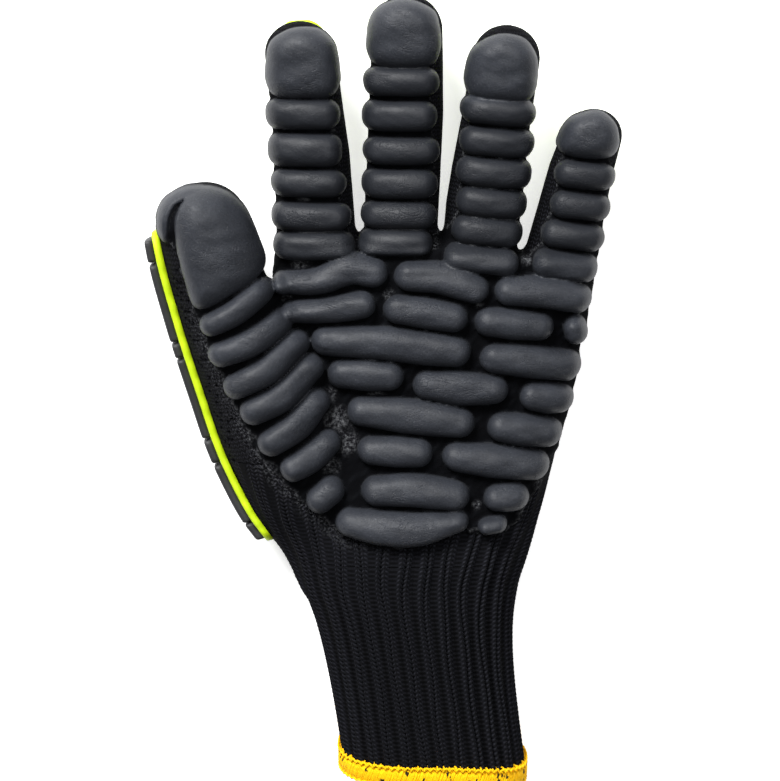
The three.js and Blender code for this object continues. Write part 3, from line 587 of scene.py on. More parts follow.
def knit_material():
    m = Nodes("black_knit")
    wale, course, valley, groove = (m.attribute(key) for key in ("wale", "course", "valley", "groove"))
    across = m.math("ABSOLUTE", m.minus(m.math("FRACT", wale), 0.5))  # 0 in a wale's middle
    turn = m.times(course, 2 * math.pi)
    stitch = m.wave(m.math("MULTIPLY_ADD", across, 1.3 * 2 * math.pi, turn))
    knitted = m.times(stitch, m.math("SINE", m.times(across, 2 * math.pi)))
    rung = m.wave(turn)
    height = m.plus(m.times(knitted, m.minus(1.0, valley)), m.times(rung, valley))
    height = m.math("MULTIPLY_ADD", m.noise(2600, 2, 0.6), 0.35, height)
    # painted highlight and shade: the stitches' crowns lighter and their low parts darker
    shade = m.ramp(height, (0.05, 0.0014), (0.6, (0.0082, 0.0085, 0.0112)), (1.0, (0.0200, 0.0206, 0.0262)))
    depth = (0.0004, 0.0004, 0.0005, 1)
    shade = m.mix(m.math("MULTIPLY_ADD", m.attribute("ribbed"), -0.45, 0.45), shade, depth)
    # painted shade: the rib valleys and the holes between wales go near black
    holes = m.times(groove, m.minus(1.0, rung))
    shade = m.mix(m.math("MAXIMUM", m.times(valley, 0.92), holes), shade, depth)
    # crumbs of rubber caught in the knit beside the film
    crumb = m.times(m.attribute("crumbs"), m.ramp(m.noise(1250, 2, 0.7), (0.5, 0.0), (0.62, 1.0)))
    shade = m.mix(m.times(crumb, 0.8), shade, (0.055, 0.057, 0.062, 1))
    return m.finish(shade, 0.92, m.bump(height, 0.8, 0.0004), 0.06)


def guard_material(name, low, high, roughness):
    m = Nodes(name)
    cloud, fine = m.noise(160, 4, 0.6), m.noise(1400, 3, 0.6)
    rough = m.ramp(fine, (0.3, roughness), (0.8, roughness + 0.12))
    relief = m.math("MULTIPLY_ADD", cloud, 0.6, fine)
    return m.finish(m.ramp(cloud, (0.3, low), (0.7, high)), rough, m.bump(relief, 0.25, 0.0003))


def thread_material():
    m = Nodes("hem_thread")
    strand = m.math("SINE", m.times(m.attribute("twist"), 2 * math.pi))
    height = m.math("MULTIPLY_ADD", m.noise(2400, 3, 0.6), 0.6, strand)
    yellow = m.ramp(m.noise(700, 2), (0.3, (0.82, 0.44, 0.0018)), (0.7, (0.94, 0.545, 0.0025)))
    speck = m.ramp(m.attribute("speck"), (0.35, 0.0), (0.6, 1.0))
    return m.finish(m.mix(speck, yellow, (0.02, 0.014, 0.006, 1)), 0.8, m.bump(height, 0.35, 0.0002), 0.15)


def band_material():
    m = Nodes("hem_band")
    colour = m.mix(m.above(m.noise(900, 2), 0.62), (0.60, 0.33, 0.002, 1), (0.012, 0.011, 0.01, 1))
    return m.finish(colour, 0.85, m.bump(m.noise(2000, 3), 0.5, 0.0003), 0.1)


RUBBER = coating_material("foam_rubber", 0.26)
FILM_RUBBER = coating_material("film_rubber", 0.04)
KNITTED = knit_material()
BRIGHT = guard_material("bright_rubber", (0.50, 0.70, 0.002), (0.60, 0.82, 0.003), 0.5)
DARK = guard_material("dark_rubber", (0.012, 0.012, 0.013), (0.022, 0.022, 0.024), 0.55)
THREAD = thread_material()
BAND = band_material()

# Outlines seen from the palm side, in pixels of the photograph
PIXEL = 0.32  # mm on the glove for each pixel
ORIGIN_X, ORIGIN_Y = 386, 391  # the pixel at the glove's origin

# Middle line of each bar on the palm and the thumb: x, y and half its thickness there
BARS = [
    [(284, 285, 11), (320, 281, 13), (352, 269, 15.5), (373, 273, 14)],
    [(409, 276, 14.5), (435, 277, 15.5), (455, 281, 16), (474, 289, 14)],
    [(509, 291, 14), (540, 293, 15.5), (565, 297, 16), (579, 301, 14)],
    [(292, 313, 10.5), (325, 311, 12), (350, 307, 13.5), (362, 305, 13)],
    [(398, 309, 14), (425, 313, 15), (453, 318, 14)],
    [(489, 322, 14), (515, 325, 15), (540, 328, 13.5)],
    [(576, 330, 11.5), (578, 336, 11.5)],
    [(326, 342, 14.5), (380, 343, 16.5), (430, 349, 16.5), (455, 352, 15)],
    [(495, 359, 14.5), (530, 363, 16.5), (568, 369, 15.5)],
    [(342, 375, 14), (365, 376, 15.5), (389, 377, 14)],
    [(427, 386, 13.5), (460, 389, 17), (494, 391, 14)],
    [(535, 399, 14), (550, 401, 15.5), (562, 403, 14)],
    [(362, 413, 14.5), (400, 416, 17), (440, 421, 16.5), (460, 424, 14.5)],
    [(503, 429, 14.5), (526, 433, 16), (550, 437, 14.5)],
    [(371, 452, 13.5), (395, 453, 15), (418, 454, 14)],
    [(457, 458, 14), (495, 463, 16.5), (536, 469, 15)],
    [(376, 492, 14.5), (415, 491, 16.5), (455, 497, 14.5)],
    [(498, 500, 13), (510, 500, 14), (517, 500, 13)],
    [(350, 524, 14), (385, 529, 17), (420, 530, 16), (458, 522, 10.5)],
    [(487, 528, 8), (499, 526, 8.5)],
    [(213, 321, 11), (238, 308, 12.5), (262, 290, 12)],
    [(222, 351, 12), (252, 340, 13.5), (280, 322, 12.5)],
    [(237, 383, 12.5), (268, 368, 14), (296, 344, 13)],
    [(254, 409, 13), (285, 394, 14.5), (310, 369, 13.5)],
    [(272, 441, 13.5), (298, 425, 15), (316, 404, 13)],
    [(294, 468, 13), (312, 458, 14.5), (327, 445, 12.5)],
    [(320, 501, 13.5), (330, 492, 13.5)],
]
# Bars on the fingers: left, right, top, bottom and tilt in degrees
FINGER_BARS = {
    "index": [
        (265, 341, 101, 131, 0), (267, 343, 135, 168, 0), (270, 347, 171, 198, 0), (270, 352, 204, 232, 0),
        (272, 355, 233, 261, -1),
    ],
    "middle": [
        (362, 439, 70, 98, 0), (361, 437, 103, 133, 0), (362, 440, 139, 166, 0), (361, 438, 171, 200, 0),
        (360, 437, 203, 230, 0), (358, 433, 231, 256, 0),
    ],
    "ring": [
        (459, 536, 100, 127, 5), (458, 535, 130, 158, 5), (455, 533, 160, 189, 5), (455, 528, 190, 219, 6),
        (451, 524, 219, 247, 6), (443, 519, 247, 274, 7),
    ],
    "little": [
        (553, 616, 164, 191, 6), (549, 612, 195, 222, 7), (540, 607, 225, 252, 8), (532, 600, 254, 282, 9),
    ],
}
# Outlines of the pads at the tips, clockwise
PADS = {
    "index": [
        (267, 62), (272, 44), (287, 33), (304, 29), (321, 32), (335, 44), (340, 64), (341, 84), (334, 97),
        (304, 101), (274, 97), (266, 84),
    ],
    "middle": [
        (367, 30), (373, 14), (388, 5), (404, 2), (421, 6), (435, 16), (440, 34), (440, 54), (432, 67),
        (404, 70), (374, 67), (366, 54),
    ],
    "ring": [
        (464, 66), (472, 50), (488, 39), (505, 36), (521, 40), (533, 53), (537, 72), (535, 91), (527, 103),
        (500, 104), (470, 98), (463, 84),
    ],
    "little": [
        (558, 136), (567, 121), (582, 114), (597, 112), (609, 119), (617, 132), (618, 147), (612, 158),
        (588, 161), (561, 155), (556, 147),
    ],
    "thumb": [
        (178, 208), (186, 192), (204, 184), (228, 189), (249, 209), (263, 234), (270, 256), (261, 274),
        (233, 292), (206, 305), (196, 303), (187, 276), (179, 240),
    ],
}
# The fold of rubber round the thumb's tip, and the crease between it and the pad: x, y and half its width
THUMB_FOLD = [
    (158, 216), (163, 200), (174, 190), (190, 184), (204, 186), (194, 194), (184, 203), (178, 214),
    (175, 226), (173, 236), (167, 241), (160, 232),
]
THUMB_CREASE = [(187, 198, 0.6), (181, 204, 1.5), (177, 212, 2.2), (175, 222, 2.0), (174.5, 233, 2.2)]
# Edges of the rubber film round the hand with its fingers, and round the thumb
HAND_FILM = [
    (264, 262), (262, 200), (264, 130), (269, 84), (272, 56), (284, 38), (304, 34), (322, 38), (334, 52),
    (337, 76), (336, 110), (340, 165), (345, 215), (352, 240),
    (361, 240), (361, 180), (363, 80), (371, 30), (386, 11), (404, 8), (422, 12), (433, 28), (435, 62),
    (433, 110), (433, 190), (432, 236),
    (452, 225), (460, 180), (465, 110), (468, 64), (486, 46), (505, 42), (520, 46), (531, 64), (530, 110),
    (529, 160), (524, 215), (520, 246), (527, 256),
    (540, 246), (550, 212), (559, 165), (563, 135), (582, 120), (600, 118), (613, 134), (613, 150),
    (608, 200), (625, 240), (640, 300), (640, 460),
    (560, 462), (548, 482), (533, 508), (508, 537), (462, 534), (400, 548), (343, 540), (318, 520),
    (297, 500), (262, 464), (244, 430), (226, 388), (230, 340), (262, 300),
]
THUMB_FILM = [
    (150, 200), (183, 180), (230, 186), (254, 214), (266, 244), (276, 276), (290, 300), (285, 420),
    (262, 464), (244, 430), (226, 388), (208, 345), (196, 312), (190, 290), (183, 262), (178, 246),
    (168, 238), (160, 238), (154, 226),
]
# Patches where the film is thin: x, y and radius
GRAINY = [
    (303, 199, 6), (300, 263, 9), (289, 300, 7), (338, 424, 13), (346, 446, 11), (330, 470, 8),
    (376, 396, 8), (328, 398, 7), (268, 470, 7), (432, 246, 5), (526, 262, 5), (388, 296, 5),
    (250, 440, 6), (312, 500, 6), (228, 395, 5), (540, 492, 5), (476, 508, 4), (478, 304, 4),
]


def plan(points):
    """Pixels of the photograph, with a length in a third column, as millimetres."""
    p = np.asarray(points, float)
    q = p * PIXEL
    q[:, 0], q[:, 1] = (p[:, 0] - ORIGIN_X) * PIXEL, (ORIGIN_Y - p[:, 1]) * PIXEL
    return q


def from_segment(gx, gy, a, b):
    """Share of the way along a segment of the nearest place on it, and the offset from there."""
    dx, dy = b[0] - a[0], b[1] - a[1]
    t = np.clip(((gx - a[0]) * dx + (gy - a[1]) * dy) / max(dx * dx + dy * dy, 1e-9), 0, 1)
    return t, gx - a[0] - t * dx, gy - a[1] - t * dy


def segment_distance(gx, gy, line):
    """Signed distance in plan to a line whose rows are x, y and half thickness: negative inside."""
    best = np.full(gx.shape, 1e3, F)
    for a, b in zip(line[:-1], line[1:]):
        t, dx, dy = from_segment(gx, gy, a, b)
        best = np.minimum(best, (np.hypot(dx, dy) - (a[2] + (b[2] - a[2]) * t)).astype(F))
    return best


def polygon_distance(gx, gy, outline):
    """Signed distance in plan to a closed outline: negative inside."""
    best = np.full(gx.shape, 1e6, float)
    odd = np.zeros(gx.shape, bool)
    for a, b in zip(outline, np.roll(outline, -1, axis=0)):
        _, dx, dy = from_segment(gx, gy, a, b)
        best = np.minimum(best, dx**2 + dy**2)
        rise = b[1] - a[1]
        left = gx < a[0] + (gy - a[1]) * (b[0] - a[0]) / (rise if abs(rise) > 1e-9 else 1e-9)
        odd ^= ((a[1] > gy) != (b[1] > gy)) & left
    return (np.sqrt(best) * np.where(odd, -1, 1)).astype(F)


def box_distance(gx, gy, middle, half_x, half_y, radius, tilt):
    """Signed distance in plan to a tilted box with round corners: negative inside."""
    c, s = math.cos(math.radians(-tilt)), math.sin(math.radians(-tilt))
    dx, dy = gx - middle[0], gy - middle[1]
    qx, qy = np.abs(dx * c + dy * s) - half_x + radius, np.abs(-dx * s + dy * c) - half_y + radius
    outside = np.hypot(np.maximum(qx, 0), np.maximum(qy, 0))
    return (outside + np.minimum(np.maximum(qx, qy), 0) - radius).astype(F)


def film_edge(gx, gy):
    return np.minimum(polygon_distance(gx, gy, plan(HAND_FILM)), polygon_distance(gx, gy, plan(THUMB_FILM)))


# the rubber, in six pieces
FINE = 0.6  # mm between the points of the rubber's meshes
OVERSIZE = 0.3  # mm that a palm bar is wider than its outline, which shows only its crown
BAR_CORNER = 4.4
BLEND = 0.35  # mm over which bars and pads run into the film
FINGER_PAD_EDGE, THUMB_PAD_EDGE = 7.0, 9.0
FOLD_EDGE, FOLD_HEIGHT, FOLD_BLEND = 3.4, 3.6, 1.6
FINGER_BAR_SHADE = 0.75  # how much painted shade darkens the fingers' bars, which the pads don't take
FINGER_BAR_SHADE_START = 38.0  # the y from which the fingers' bars take that painted shade
HOLLOW_HEIGHT = 1.5  # up to here over the film the rubber's colour is darkened with painted shade, as shade lies between the bars
CREASE_FLOOR = 1.1  # rubber left over the knit in the thumb's crease
BITE = 0.45  # how far the rubber reaches into the knit
EDGE_DROP = 7.0  # the rubber reaches this much lower at the hand's edge below the index finger
THUMB_TIP_X, THUMB_TIP_Y = -36.5, 33.0  # the thumb's tip is left of the first and past the second
PALM_MIDDLE = 14.0
# where each finger's own rubber starts, as a share of its length past the root
JOINTS = {"index": -0.07, "middle": -0.06, "ring": -0.1, "little": -0.09}


def pads_in_plan(gx, gy):
    """Each bar and pad: what it is on, its signed plan distance, edge width, height, fullness and blend."""
    shapes = []
    for rows in BARS:
        inside = segment_distance(gx, gy, curve_through(plan(rows), per=6)) - OVERSIZE
        width = max(r[2] for r in rows) * PIXEL + OVERSIZE
        shapes.append(("palm", inside, width, BAR_HEIGHT + 0.8, 2.4, BLEND))
    for on, bars in FINGER_BARS.items():
        for left, right, top, bottom, tilt in bars:
            (middle,) = plan([((left + right) / 2, (top + bottom) / 2)])
            half_x, half_y = (right - left) / 2 * PIXEL, (bottom - top) / 2 * PIXEL + 0.15
            inside = box_distance(gx, gy, middle, half_x, half_y, min(half_y, BAR_CORNER), tilt)
            shapes.append((on, inside, half_y, BAR_HEIGHT + 0.3, 2.4, BLEND))
    for on, outline in PADS.items():
        inside = polygon_distance(gx, gy, curve_through(plan(outline), 6, True))
        edge = THUMB_PAD_EDGE if on == "thumb" else FINGER_PAD_EDGE
        shapes.append((on, inside, edge, PAD_HEIGHT + 0.2, 2.3, BLEND))
    fold = polygon_distance(gx, gy, curve_through(plan(THUMB_FOLD), 6, True))
    shapes.append(("thumb", fold, FOLD_EDGE, FOLD_HEIGHT, 2.0, FOLD_BLEND))
    return shapes


def half_space(gx, gy, point, normal):
    """Distance in plan behind a line: negative on the side its normal points to."""
    return -((gx - point[0]) * normal[0] + (gy - point[1]) * normal[1])


def finger_region(k, gx, gy):
    """Plan distance from the part of the glove whose rubber is one finger's."""
    f = FINGERS[k]
    s = JOINTS[f["name"]] * f["length"]
    start = (f["base"][0] + s * f["sin"], f["base"][1] + s * f["cos"])
    region = half_space(gx, gy, start, (f["sin"], f["cos"]))
    for a, b, sign in ((k - 1, k, 1), (k, k + 1, -1)):
        if a < 0 or b >= len(FINGERS):
            continue
        left, right = FINGERS[a], FINGERS[b]
        lean = math.radians((left["lean"] + right["lean"]) / 2)
        x = (left["base"][0] + left["width"] / 2 + right["base"][0] - right["width"] / 2) / 2
        y = (left["base"][1] + right["base"][1]) / 2
        beside = half_space(gx, gy, (x, y), (sign * math.cos(lean), -sign * math.sin(lean)))
        region = np.maximum(region, beside)
    return region


def thumb_region(gx, gy):
    """Plan distance from the part of the glove whose rubber is the thumb's."""
    below, inner = plan([(260, 354), (284, 305)])
    region = half_space(gx, gy, below, (-math.sin(math.radians(30)), math.cos(math.radians(30))))
    beside = half_space(gx, gy, inner, (-math.cos(math.radians(24)), -math.sin(math.radians(24))))
    tip = np.maximum(gx - THUMB_TIP_X, THUMB_TIP_Y - gy)
    return np.maximum(region, np.minimum(beside, tip))


def palm_region(gx, gy):
    return -np.minimum.reduce([thumb_region(gx, gy)] + [finger_region(k, gx, gy) for k in range(len(FINGERS))])


def height_middle(gx, gy):
    """Height of the middle of the hand, finger or thumb at a place in plan."""
    z = np.full(gx.shape, PALM_MIDDLE)
    thumb = np.interp(gy, THUMB_C[:, 1], THUMB_C[:, 2])
    beside = np.interp(gy, THUMB_C[:, 1], THUMB_C[:, 0]) + 15
    z += (thumb - PALM_MIDDLE) * np.clip((beside + 6 - gx) / 12, 0, 1) * np.clip((40 - gy) / 6, 0, 1)
    z -= EDGE_DROP * np.clip((-24 - gx) / 6, 0, 1) * np.clip((14 - np.abs(gy - 30)) / 5, 0, 1)
    for f in FINGERS:
        s, u = finger_plan(f, gx, gy)
        on = np.clip((s + 6) / 12, 0, 1) * np.clip((f["width"] / 2 + 2 - np.abs(u)) / 2, 0, 1)
        z += (f["base"][2] + finger_lift(f, s) - z) * on
    return z


def add_pads(field, wanted, gx, gy, d, up, cut):
    """Blend the wanted bars and pads into the rubber's field, and give the plan distance to the nearest."""
    side = np.clip(0.5 + (up - 1.0) / 5.0, 0.02, 1)  # bars lie lower on the limb's sides
    rough = 0.16 * wobble(gx, gy, 0, 9.0, 5) + 0.09 * wobble(gx, gy, 0, 4.0, 6)
    nearest = np.full(gx.shape, 30.0, F)
    for on, inside, width, height, power, blend in pads_in_plan(gx, gy):
        if on not in wanted:
            continue
        nearest = np.minimum(nearest, inside)
        near = (inside < 2.5) & (cut < 3)
        if not near.any():
            continue
        i, j = np.where(near.any(axis=1))[0], np.where(near.any(axis=0))[0]
        block = (slice(i[0], i[-1] + 1), slice(j[0], j[-1] + 1))
        e = np.maximum(inside[block] + rough[block] * 0.6 + width, 0)[:, :, None] / width
        rise = np.maximum(d[block], 0) / ((height + rough[block][:, :, None]) * side[block])
        q = (e**power + rise**power) ** (1 / power) - 1
        field[block] = smin(field[block], q * min(width, height) * 0.95, blend)
    return nearest


def coating(label, low, high, region, limbs):
    """The rubber of one region, closed below against the knit of its limbs."""
    low = [math.floor(v / FINE) * FINE for v in low]
    (gx, gy), (x, y, z) = lattice(low, high, FINE)
    d = knit_distance(x, y, z, limbs).astype(F)
    middle = height_middle(gx, gy)
    if label == "thumb":
        middle += (np.interp(gy, THUMB_C[:, 1], THUMB_C[:, 2]) - middle) * np.clip((gy - 30) / 6, 0, 1)
    up = z - middle[:, :, None].astype(F)
    # the film, which ends at its edge in plan and some way down the sides
    edge = film_edge(gx, gy) + 0.6 * wobble(gx, gy, 0, 7.0, 3) + 0.3 * wobble(gx, gy, 0, 2.4, 4)
    down_side = (up - 2.0 + 0.8 * wobble(gx, gy, 0, 8.0, 8)[:, :, None]) * 0.5
    thick = np.minimum(np.clip(-edge * 0.7, -1.0, FILM)[:, :, None], np.clip(down_side, -1.0, FILM))
    field = d - thick - 0.12 * wobble(gx, gy, 0, 2.6, 9)[:, :, None]
    cut = region(gx, gy).astype(F) - 0.5
    wanted = ("palm",) + (FINGER_NAMES if label == "palm" else (label,))
    nearest = add_pads(field, wanted, gx, gy, d, up, cut)
    if label == "thumb":
        trench = segment_distance(gx, gy, curve_through(plan(THUMB_CREASE), 6))
        trench = trench + 0.12 * wobble(gx, gy, 0, 3.0, 12)
        field = smax(field, -np.maximum(trench[:, :, None], CREASE_FLOOR - d), 1.3)
    field = np.maximum(np.maximum(field, -(d + BITE)), cut[:, :, None])
    field[[0, -1]] = 1.0
    field[:, [0, -1]] = 1.0
    field[:, :, [0, -1]] = 1.0
    points, faces = surface_net(field, low, FINE)
    # what the material reads: thin film, hollows between the bars that get painted shade, and the fingers' bars
    # that get painted shade
    ix, iy = (np.clip(((points[:, c] - low[c]) / FINE).astype(int), 0, gx.shape[c] - 1) for c in (0, 1))
    bare = np.zeros(gx.shape)
    for px, py, r in plan(GRAINY):
        bare = np.maximum(bare, np.clip(1.4 - np.hypot(gx - px, gy - py) / r, 0, 1))
    bare = np.maximum(bare, np.clip(1 + edge / 1.2, 0, 0.9))
    px, py, pz = (points[:, c].astype(F) for c in range(3))
    # how low each point lies over the film, for the painted shade in the hollows
    hollow = np.clip(1 - (knit_distance(px, py, pz, limbs) - FILM) / HOLLOW_HEIGHT, 0, 1)
    finger_bar_shade = np.zeros(len(points))
    # painted shade on the fingers' bars, from the start y up to the pad's lower edge
    if label in FINGER_NAMES:
        pad_start = plan(PADS[label])[:, 1].min()
        finger_bar_shade = FINGER_BAR_SHADE * np.clip(pad_start + 0.5 - py, 0, 1) * np.clip((py - FINGER_BAR_SHADE_START) / 8, 0, 1)
    film = np.clip((nearest[ix, iy] + 0.1) / 0.5, 0, 1) * bare[ix, iy]
    attributes = {"film": film, "hollow": hollow, "finger_bar_shade": finger_bar_shade}
    obj = mesh_object(f"skin_{label}", points, faces, RUBBER, attributes)
    obj.data.materials.append(FILM_RUBBER)
    obj.data.polygons.foreach_set("material_index", (hollow[faces].mean(axis=1) > 0.7).astype(np.int32))
    place(obj, "coating", f"coating_{label}")


for k, f in enumerate(FINGERS):
    base_x, base_y, _ = f["base"]
    tip_x, tip_y = base_x + f["sin"] * f["length"], base_y + f["cos"] * f["length"]
    low = (min(base_x, tip_x) - 16, base_y - 14, 10.0)
    high = (max(base_x, tip_x) + 17, tip_y + 6, 38.0)
    coating(f["name"], low, high, lambda gx, gy, k=k: finger_region(k, gx, gy), FINGER_NAMES)
coating("thumb", (-78, 0, 10.0), (-26, 70, 50.0), thumb_region, ("thumb",))
coating("palm", (-58, -52, 9.0), (74, 58, 44.0), palm_region, LIMBS)

# the knitted liner
WALE, COURSE = 1.7, 1.35  # mm from stitch to stitch, across and along
CUFF_TOP = WRIST_Y - GAP / 2
LINER_START = -24.0
LINER_LAP = 3.0  # how far the liner reaches under the ribs
THUMB_WALES = 15  # radius at which the thumb's wales are counted
RIB_FADE = 20.0  # the ribs die away over this length below the liner's start
RIBS, RIB_HEIGHT, RIB_START = 28, 1.3, 0.004
MOUTH_DROOP = 4.5  # how much lower the cuff's mouth hangs at the little finger's side
CRUMB_REACH = 4.5  # how far past the film's edge its crumbs lie
FAN = np.linspace(0, 2 * math.pi, 721)[:-1]


def knit_radius(y):
    """How far the knit's face is from the body's middle, in each direction of the fan."""
    cx, cz = body_section(np.full_like(FAN, y))[:2]
    low, high = np.zeros_like(FAN), np.full_like(FAN, 75.0)
    for _ in range(26):
        r = (low + high) / 2
        out = knit_distance(cx + r * np.sin(FAN), np.full_like(FAN, y), cz + r * np.cos(FAN), ("thumb",)) > 0
        high, low = np.where(out, r, high), np.where(out, low, r)
    return (low + high) / 2


def outline(y, radii):
    """Closed outline of a section from its radii, and the way round to each of its points."""
    cx, cz = body_section(y)[:2]
    ring = np.stack([cx + radii * np.sin(FAN), cz + radii * np.cos(FAN)], axis=1)
    loop = np.vstack([ring, ring[:1]])
    return loop, arc_lengths(loop)


def outwards(y, x, z, tx, tz):
    """Unit vector square to a tangent of a section, turned away from its middle."""
    cx, cz = body_section(y)[:2]
    length = np.hypot(tx, tz)
    nx, nz = -tz / length, tx / length
    sign = np.sign((x - cx) * nx + (z - cz) * nz)
    return nx * sign, nz * sign


def bell(p, middle, width):
    return np.exp(-(((p - middle) / width) ** 2))


def between_ribs(p, width):
    return bell(p, 0.0, width) + bell(p, 1.0, width)


def hang(x, z):
    """How much lower the cuff's mouth hangs at a place of its section."""
    middle = across_hand(CUFF_MIDDLE) + math.tan(math.radians(CUFF_LEAN)) * CUFF_LENGTH
    return CUFF_SLANT * z / CUFF_DEPTH + MOUTH_DROOP * np.clip((x - middle) / (CUFF_WIDTH / 2), 0, 1.1) ** 2


def rib_profile(p, course):
    """Height over a rib: two knit wales with a row of holes between them, and purl rungs in the valley."""
    loops = 0.5 + 0.5 * np.sin(2 * math.pi * course)
    wales = bell(p, 0.35, 0.115) + bell(p, 0.65, 0.115)
    holes = bell(p, 0.5, 0.05) * (0.25 + 0.4 * (1 - loops))
    return wales * (0.92 + 0.08 * loops) - holes + between_ribs(p, 0.2) * 0.2 * loops


def crumbs(points):
    """How many crumbs of rubber cling to the knit: 1 at the film's edge beside the thumb's bars."""
    x, y, z = np.asarray(points).T
    beside = np.clip((30 - y) / 10, 0, 1) * np.clip((5 - x) / 20, 0, 1)
    return np.clip(1 - film_edge(x, y) / CRUMB_REACH, 0, 1) * np.clip((z - 12) / 6, 0, 1) * beside


def ribbed_tube(name, y0, y1, hanging, node):
    """A stretch of ribbed knit with its inside, hanging by so much of the mouth's fall at its start."""
    per = 12
    rows = int(abs(y1 - y0) / COURSE * (4))
    phase = np.arange(RIBS * per) / per
    rib, p = np.floor(phase), phase % 1
    heights = np.linspace(y0, y1, 24)
    radii = np.array([knit_radius(y) for y in heights])
    ways = np.concatenate([np.linspace(0, 1, rows), np.linspace(1, 0, 8)])
    ys = y0 + (y1 - y0) * ways
    fades = np.clip((LINER_START - ys) / RIB_FADE, 0, 1)
    grid = []
    for row, (t, y, fade) in enumerate(zip(ways, ys, fades)):
        k = min(int(t * (len(heights) - 1)), len(heights) - 2)
        part = t * (len(heights) - 1) - k
        loop, arc = outline(y, radii[k] * (1 - part) + radii[k + 1] * part)
        # ribs keep an even share of the way round, measured from the middle of the palm side
        drift = 0.06 * np.sin(y * 0.19 + rib * 2.3) + 0.05 * np.sin(y * 0.07 + rib * 1.1)
        at = ((phase + drift * np.sin(p * math.pi) ** 2) / RIBS + RIB_START) % 1 * arc[-1]
        px, pz = np.interp(at, arc, loop[:, 0]), np.interp(at, arc, loop[:, 1])
        nx, nz = outwards(y, px, pz, np.roll(px, -1) - np.roll(px, 1), np.roll(pz, -1) - np.roll(pz, 1))
        profile = rib_profile(p, y / COURSE)
        swell = 0.12 * np.sin(y * 0.083 + rib * 1.9)
        lift = fade * (RIB_HEIGHT * (profile - 0.75) + swell * profile)
        lowest = 0.05 + (1 - profile) * 0.3 * fade
        if row >= rows:
            lift = -KNIT - 0.2 * fade * (1 - profile)
            lowest = KNIT
        px, pz = px + nx * lift, np.maximum(pz + nz * lift, lowest)
        grid.append(np.stack([px, y - hang(px, pz) * hanging * (1 - t), pz], axis=1))
    points = np.concatenate(grid)
    open_knit = 0.55 + 0.45 * np.clip((-50 - ys) / 25, 0, 1)  # near the hand the valleys take less painted shade, so the rungs show more
    attributes = {
        "wale": np.tile(2 * rib + np.clip((p - 0.17) / 0.33, 0, 2), len(ys)),
        "course": np.repeat(ys / COURSE, len(p)),
        # valley and groove shape the stitches and also carry the painted shade of the ribs' valleys and holes
        "valley": np.outer(fades * open_knit, between_ribs(p, 0.23)).ravel(),
        "groove": np.outer(fades, bell(p, 0.5, 0.07)).ravel(),
        "ribbed": np.repeat(fades, len(p)),
        "crumbs": crumbs(points),
    }
    faces = grid_faces(len(ys), len(p), True)[:, [0, 3, 2, 1]]
    obj = mesh_object(name, points, faces, KNITTED, attributes)
    place(obj, "knit", node)
    return obj


def liner():
    """The plain knit of the hand, the fingers and the thumb, hollow inside."""
    h = 1.2
    low, high = (-77.0, LINER_START - LINER_LAP - 2 * h, -4.0), (78.0, 131.0, 44.0)
    _, (x, y, z) = lattice(low, high, h)
    d = knit_distance(x, y, z).astype(F) + 1.2 * np.clip((LINER_START - y) / 1.5, 0, 1)
    points, faces = surface_net(np.maximum(np.maximum(d, -(d + KNIT)), LINER_START - LINER_LAP - y), low, h)
    at = [points[:, c].astype(F) for c in range(3)]
    best = body_distance(*at)
    wale, course = at[0] / WALE, at[1] / COURSE
    limbs = [(thumb_distance(*at), thumb_frame(*at), THUMB_WALES)]
    limbs += [(finger_distance(f, *at), finger_frame(f, *at), f["width"] / 2) for f in FINGERS]
    for distance, (s, u, w), radius in limbs:
        on = distance < best
        wale = np.where(on, np.arctan2(u, w) * radius / WALE, wale)
        course = np.where(on, s / COURSE, course)
        best = np.where(on, distance, best)
    plain = np.zeros(len(points))
    attributes = {"wale": wale, "course": course, "valley": plain, "groove": plain, "ribbed": plain}
    obj = mesh_object("liner_hand", points, faces, KNITTED, {**attributes, "crumbs": crumbs(points)})
    place(obj, "knit", "knit_hand", *[f"knit_{limb}" for limb in LIMBS])


cuff = ribbed_tube("rib_cuff", HEM_Y + 0.4, CUFF_TOP, 1.0, "knit_cuff")
wrist = ribbed_tube("rib_wrist", CUFF_TOP + 0.02, LINER_START, 0.0, "knit_hand")
liner()

# guards along the thumb and on the finger backs
THUMB = dict(name="thumb", tip_radius=THUMB_TIP, round=THUMB_ROUND, roll=THUMB_ROLL)
THUMB_GUARD = (0.1, 0.9, -137.0)  # start and end as shares of the thumb's length, and the angle
THUMB_BLOCKS = [0.083, 0.21, 0.075, 0.275, 0.052, 0.24, 0.065]  # shares of the guard's length
FINGER_BLOCKS = [0.36, 0.36, 0.28]
FINGER_GUARD_START = 0.16
BLOCK_SPACE, BLOCK_INSET, FINGER_BARE_END = 0.8, 1.6, 7.0
SEAT = GUARD_SEAT + GUARD_BASE
# Heights over the knit, rounding of the rim and of the corners in plan, waviness and step of the mesh
STRIP = dict(low=GUARD_SEAT - 0.25, high=SEAT, edge=0.55, corner=6.0, wave=0.12, step=0.9)
BLOCK = dict(low=SEAT - 0.2, high=GUARD_STACK, edge=0.8, corner=0.9, wave=0.0, step=0.7)


def limb_form(limb, t):
    """A limb's middle line, half width and half depth at lengths along it."""
    if limb is THUMB:
        spine = np.stack([np.interp(t, THUMB_S, THUMB_C[:, c]) for c in range(3)], axis=-1)
        return spine, np.interp(t, THUMB_S, THUMB_HW), np.interp(t, THUMB_S, THUMB_HD)
    bx, by, bz = limb["base"]
    half = finger_half(limb, t)
    spine = np.stack([bx + t * limb["sin"], by + t * limb["cos"], bz + finger_lift(limb, t)], axis=-1)
    return spine, half, half * FINGER_DEPTH


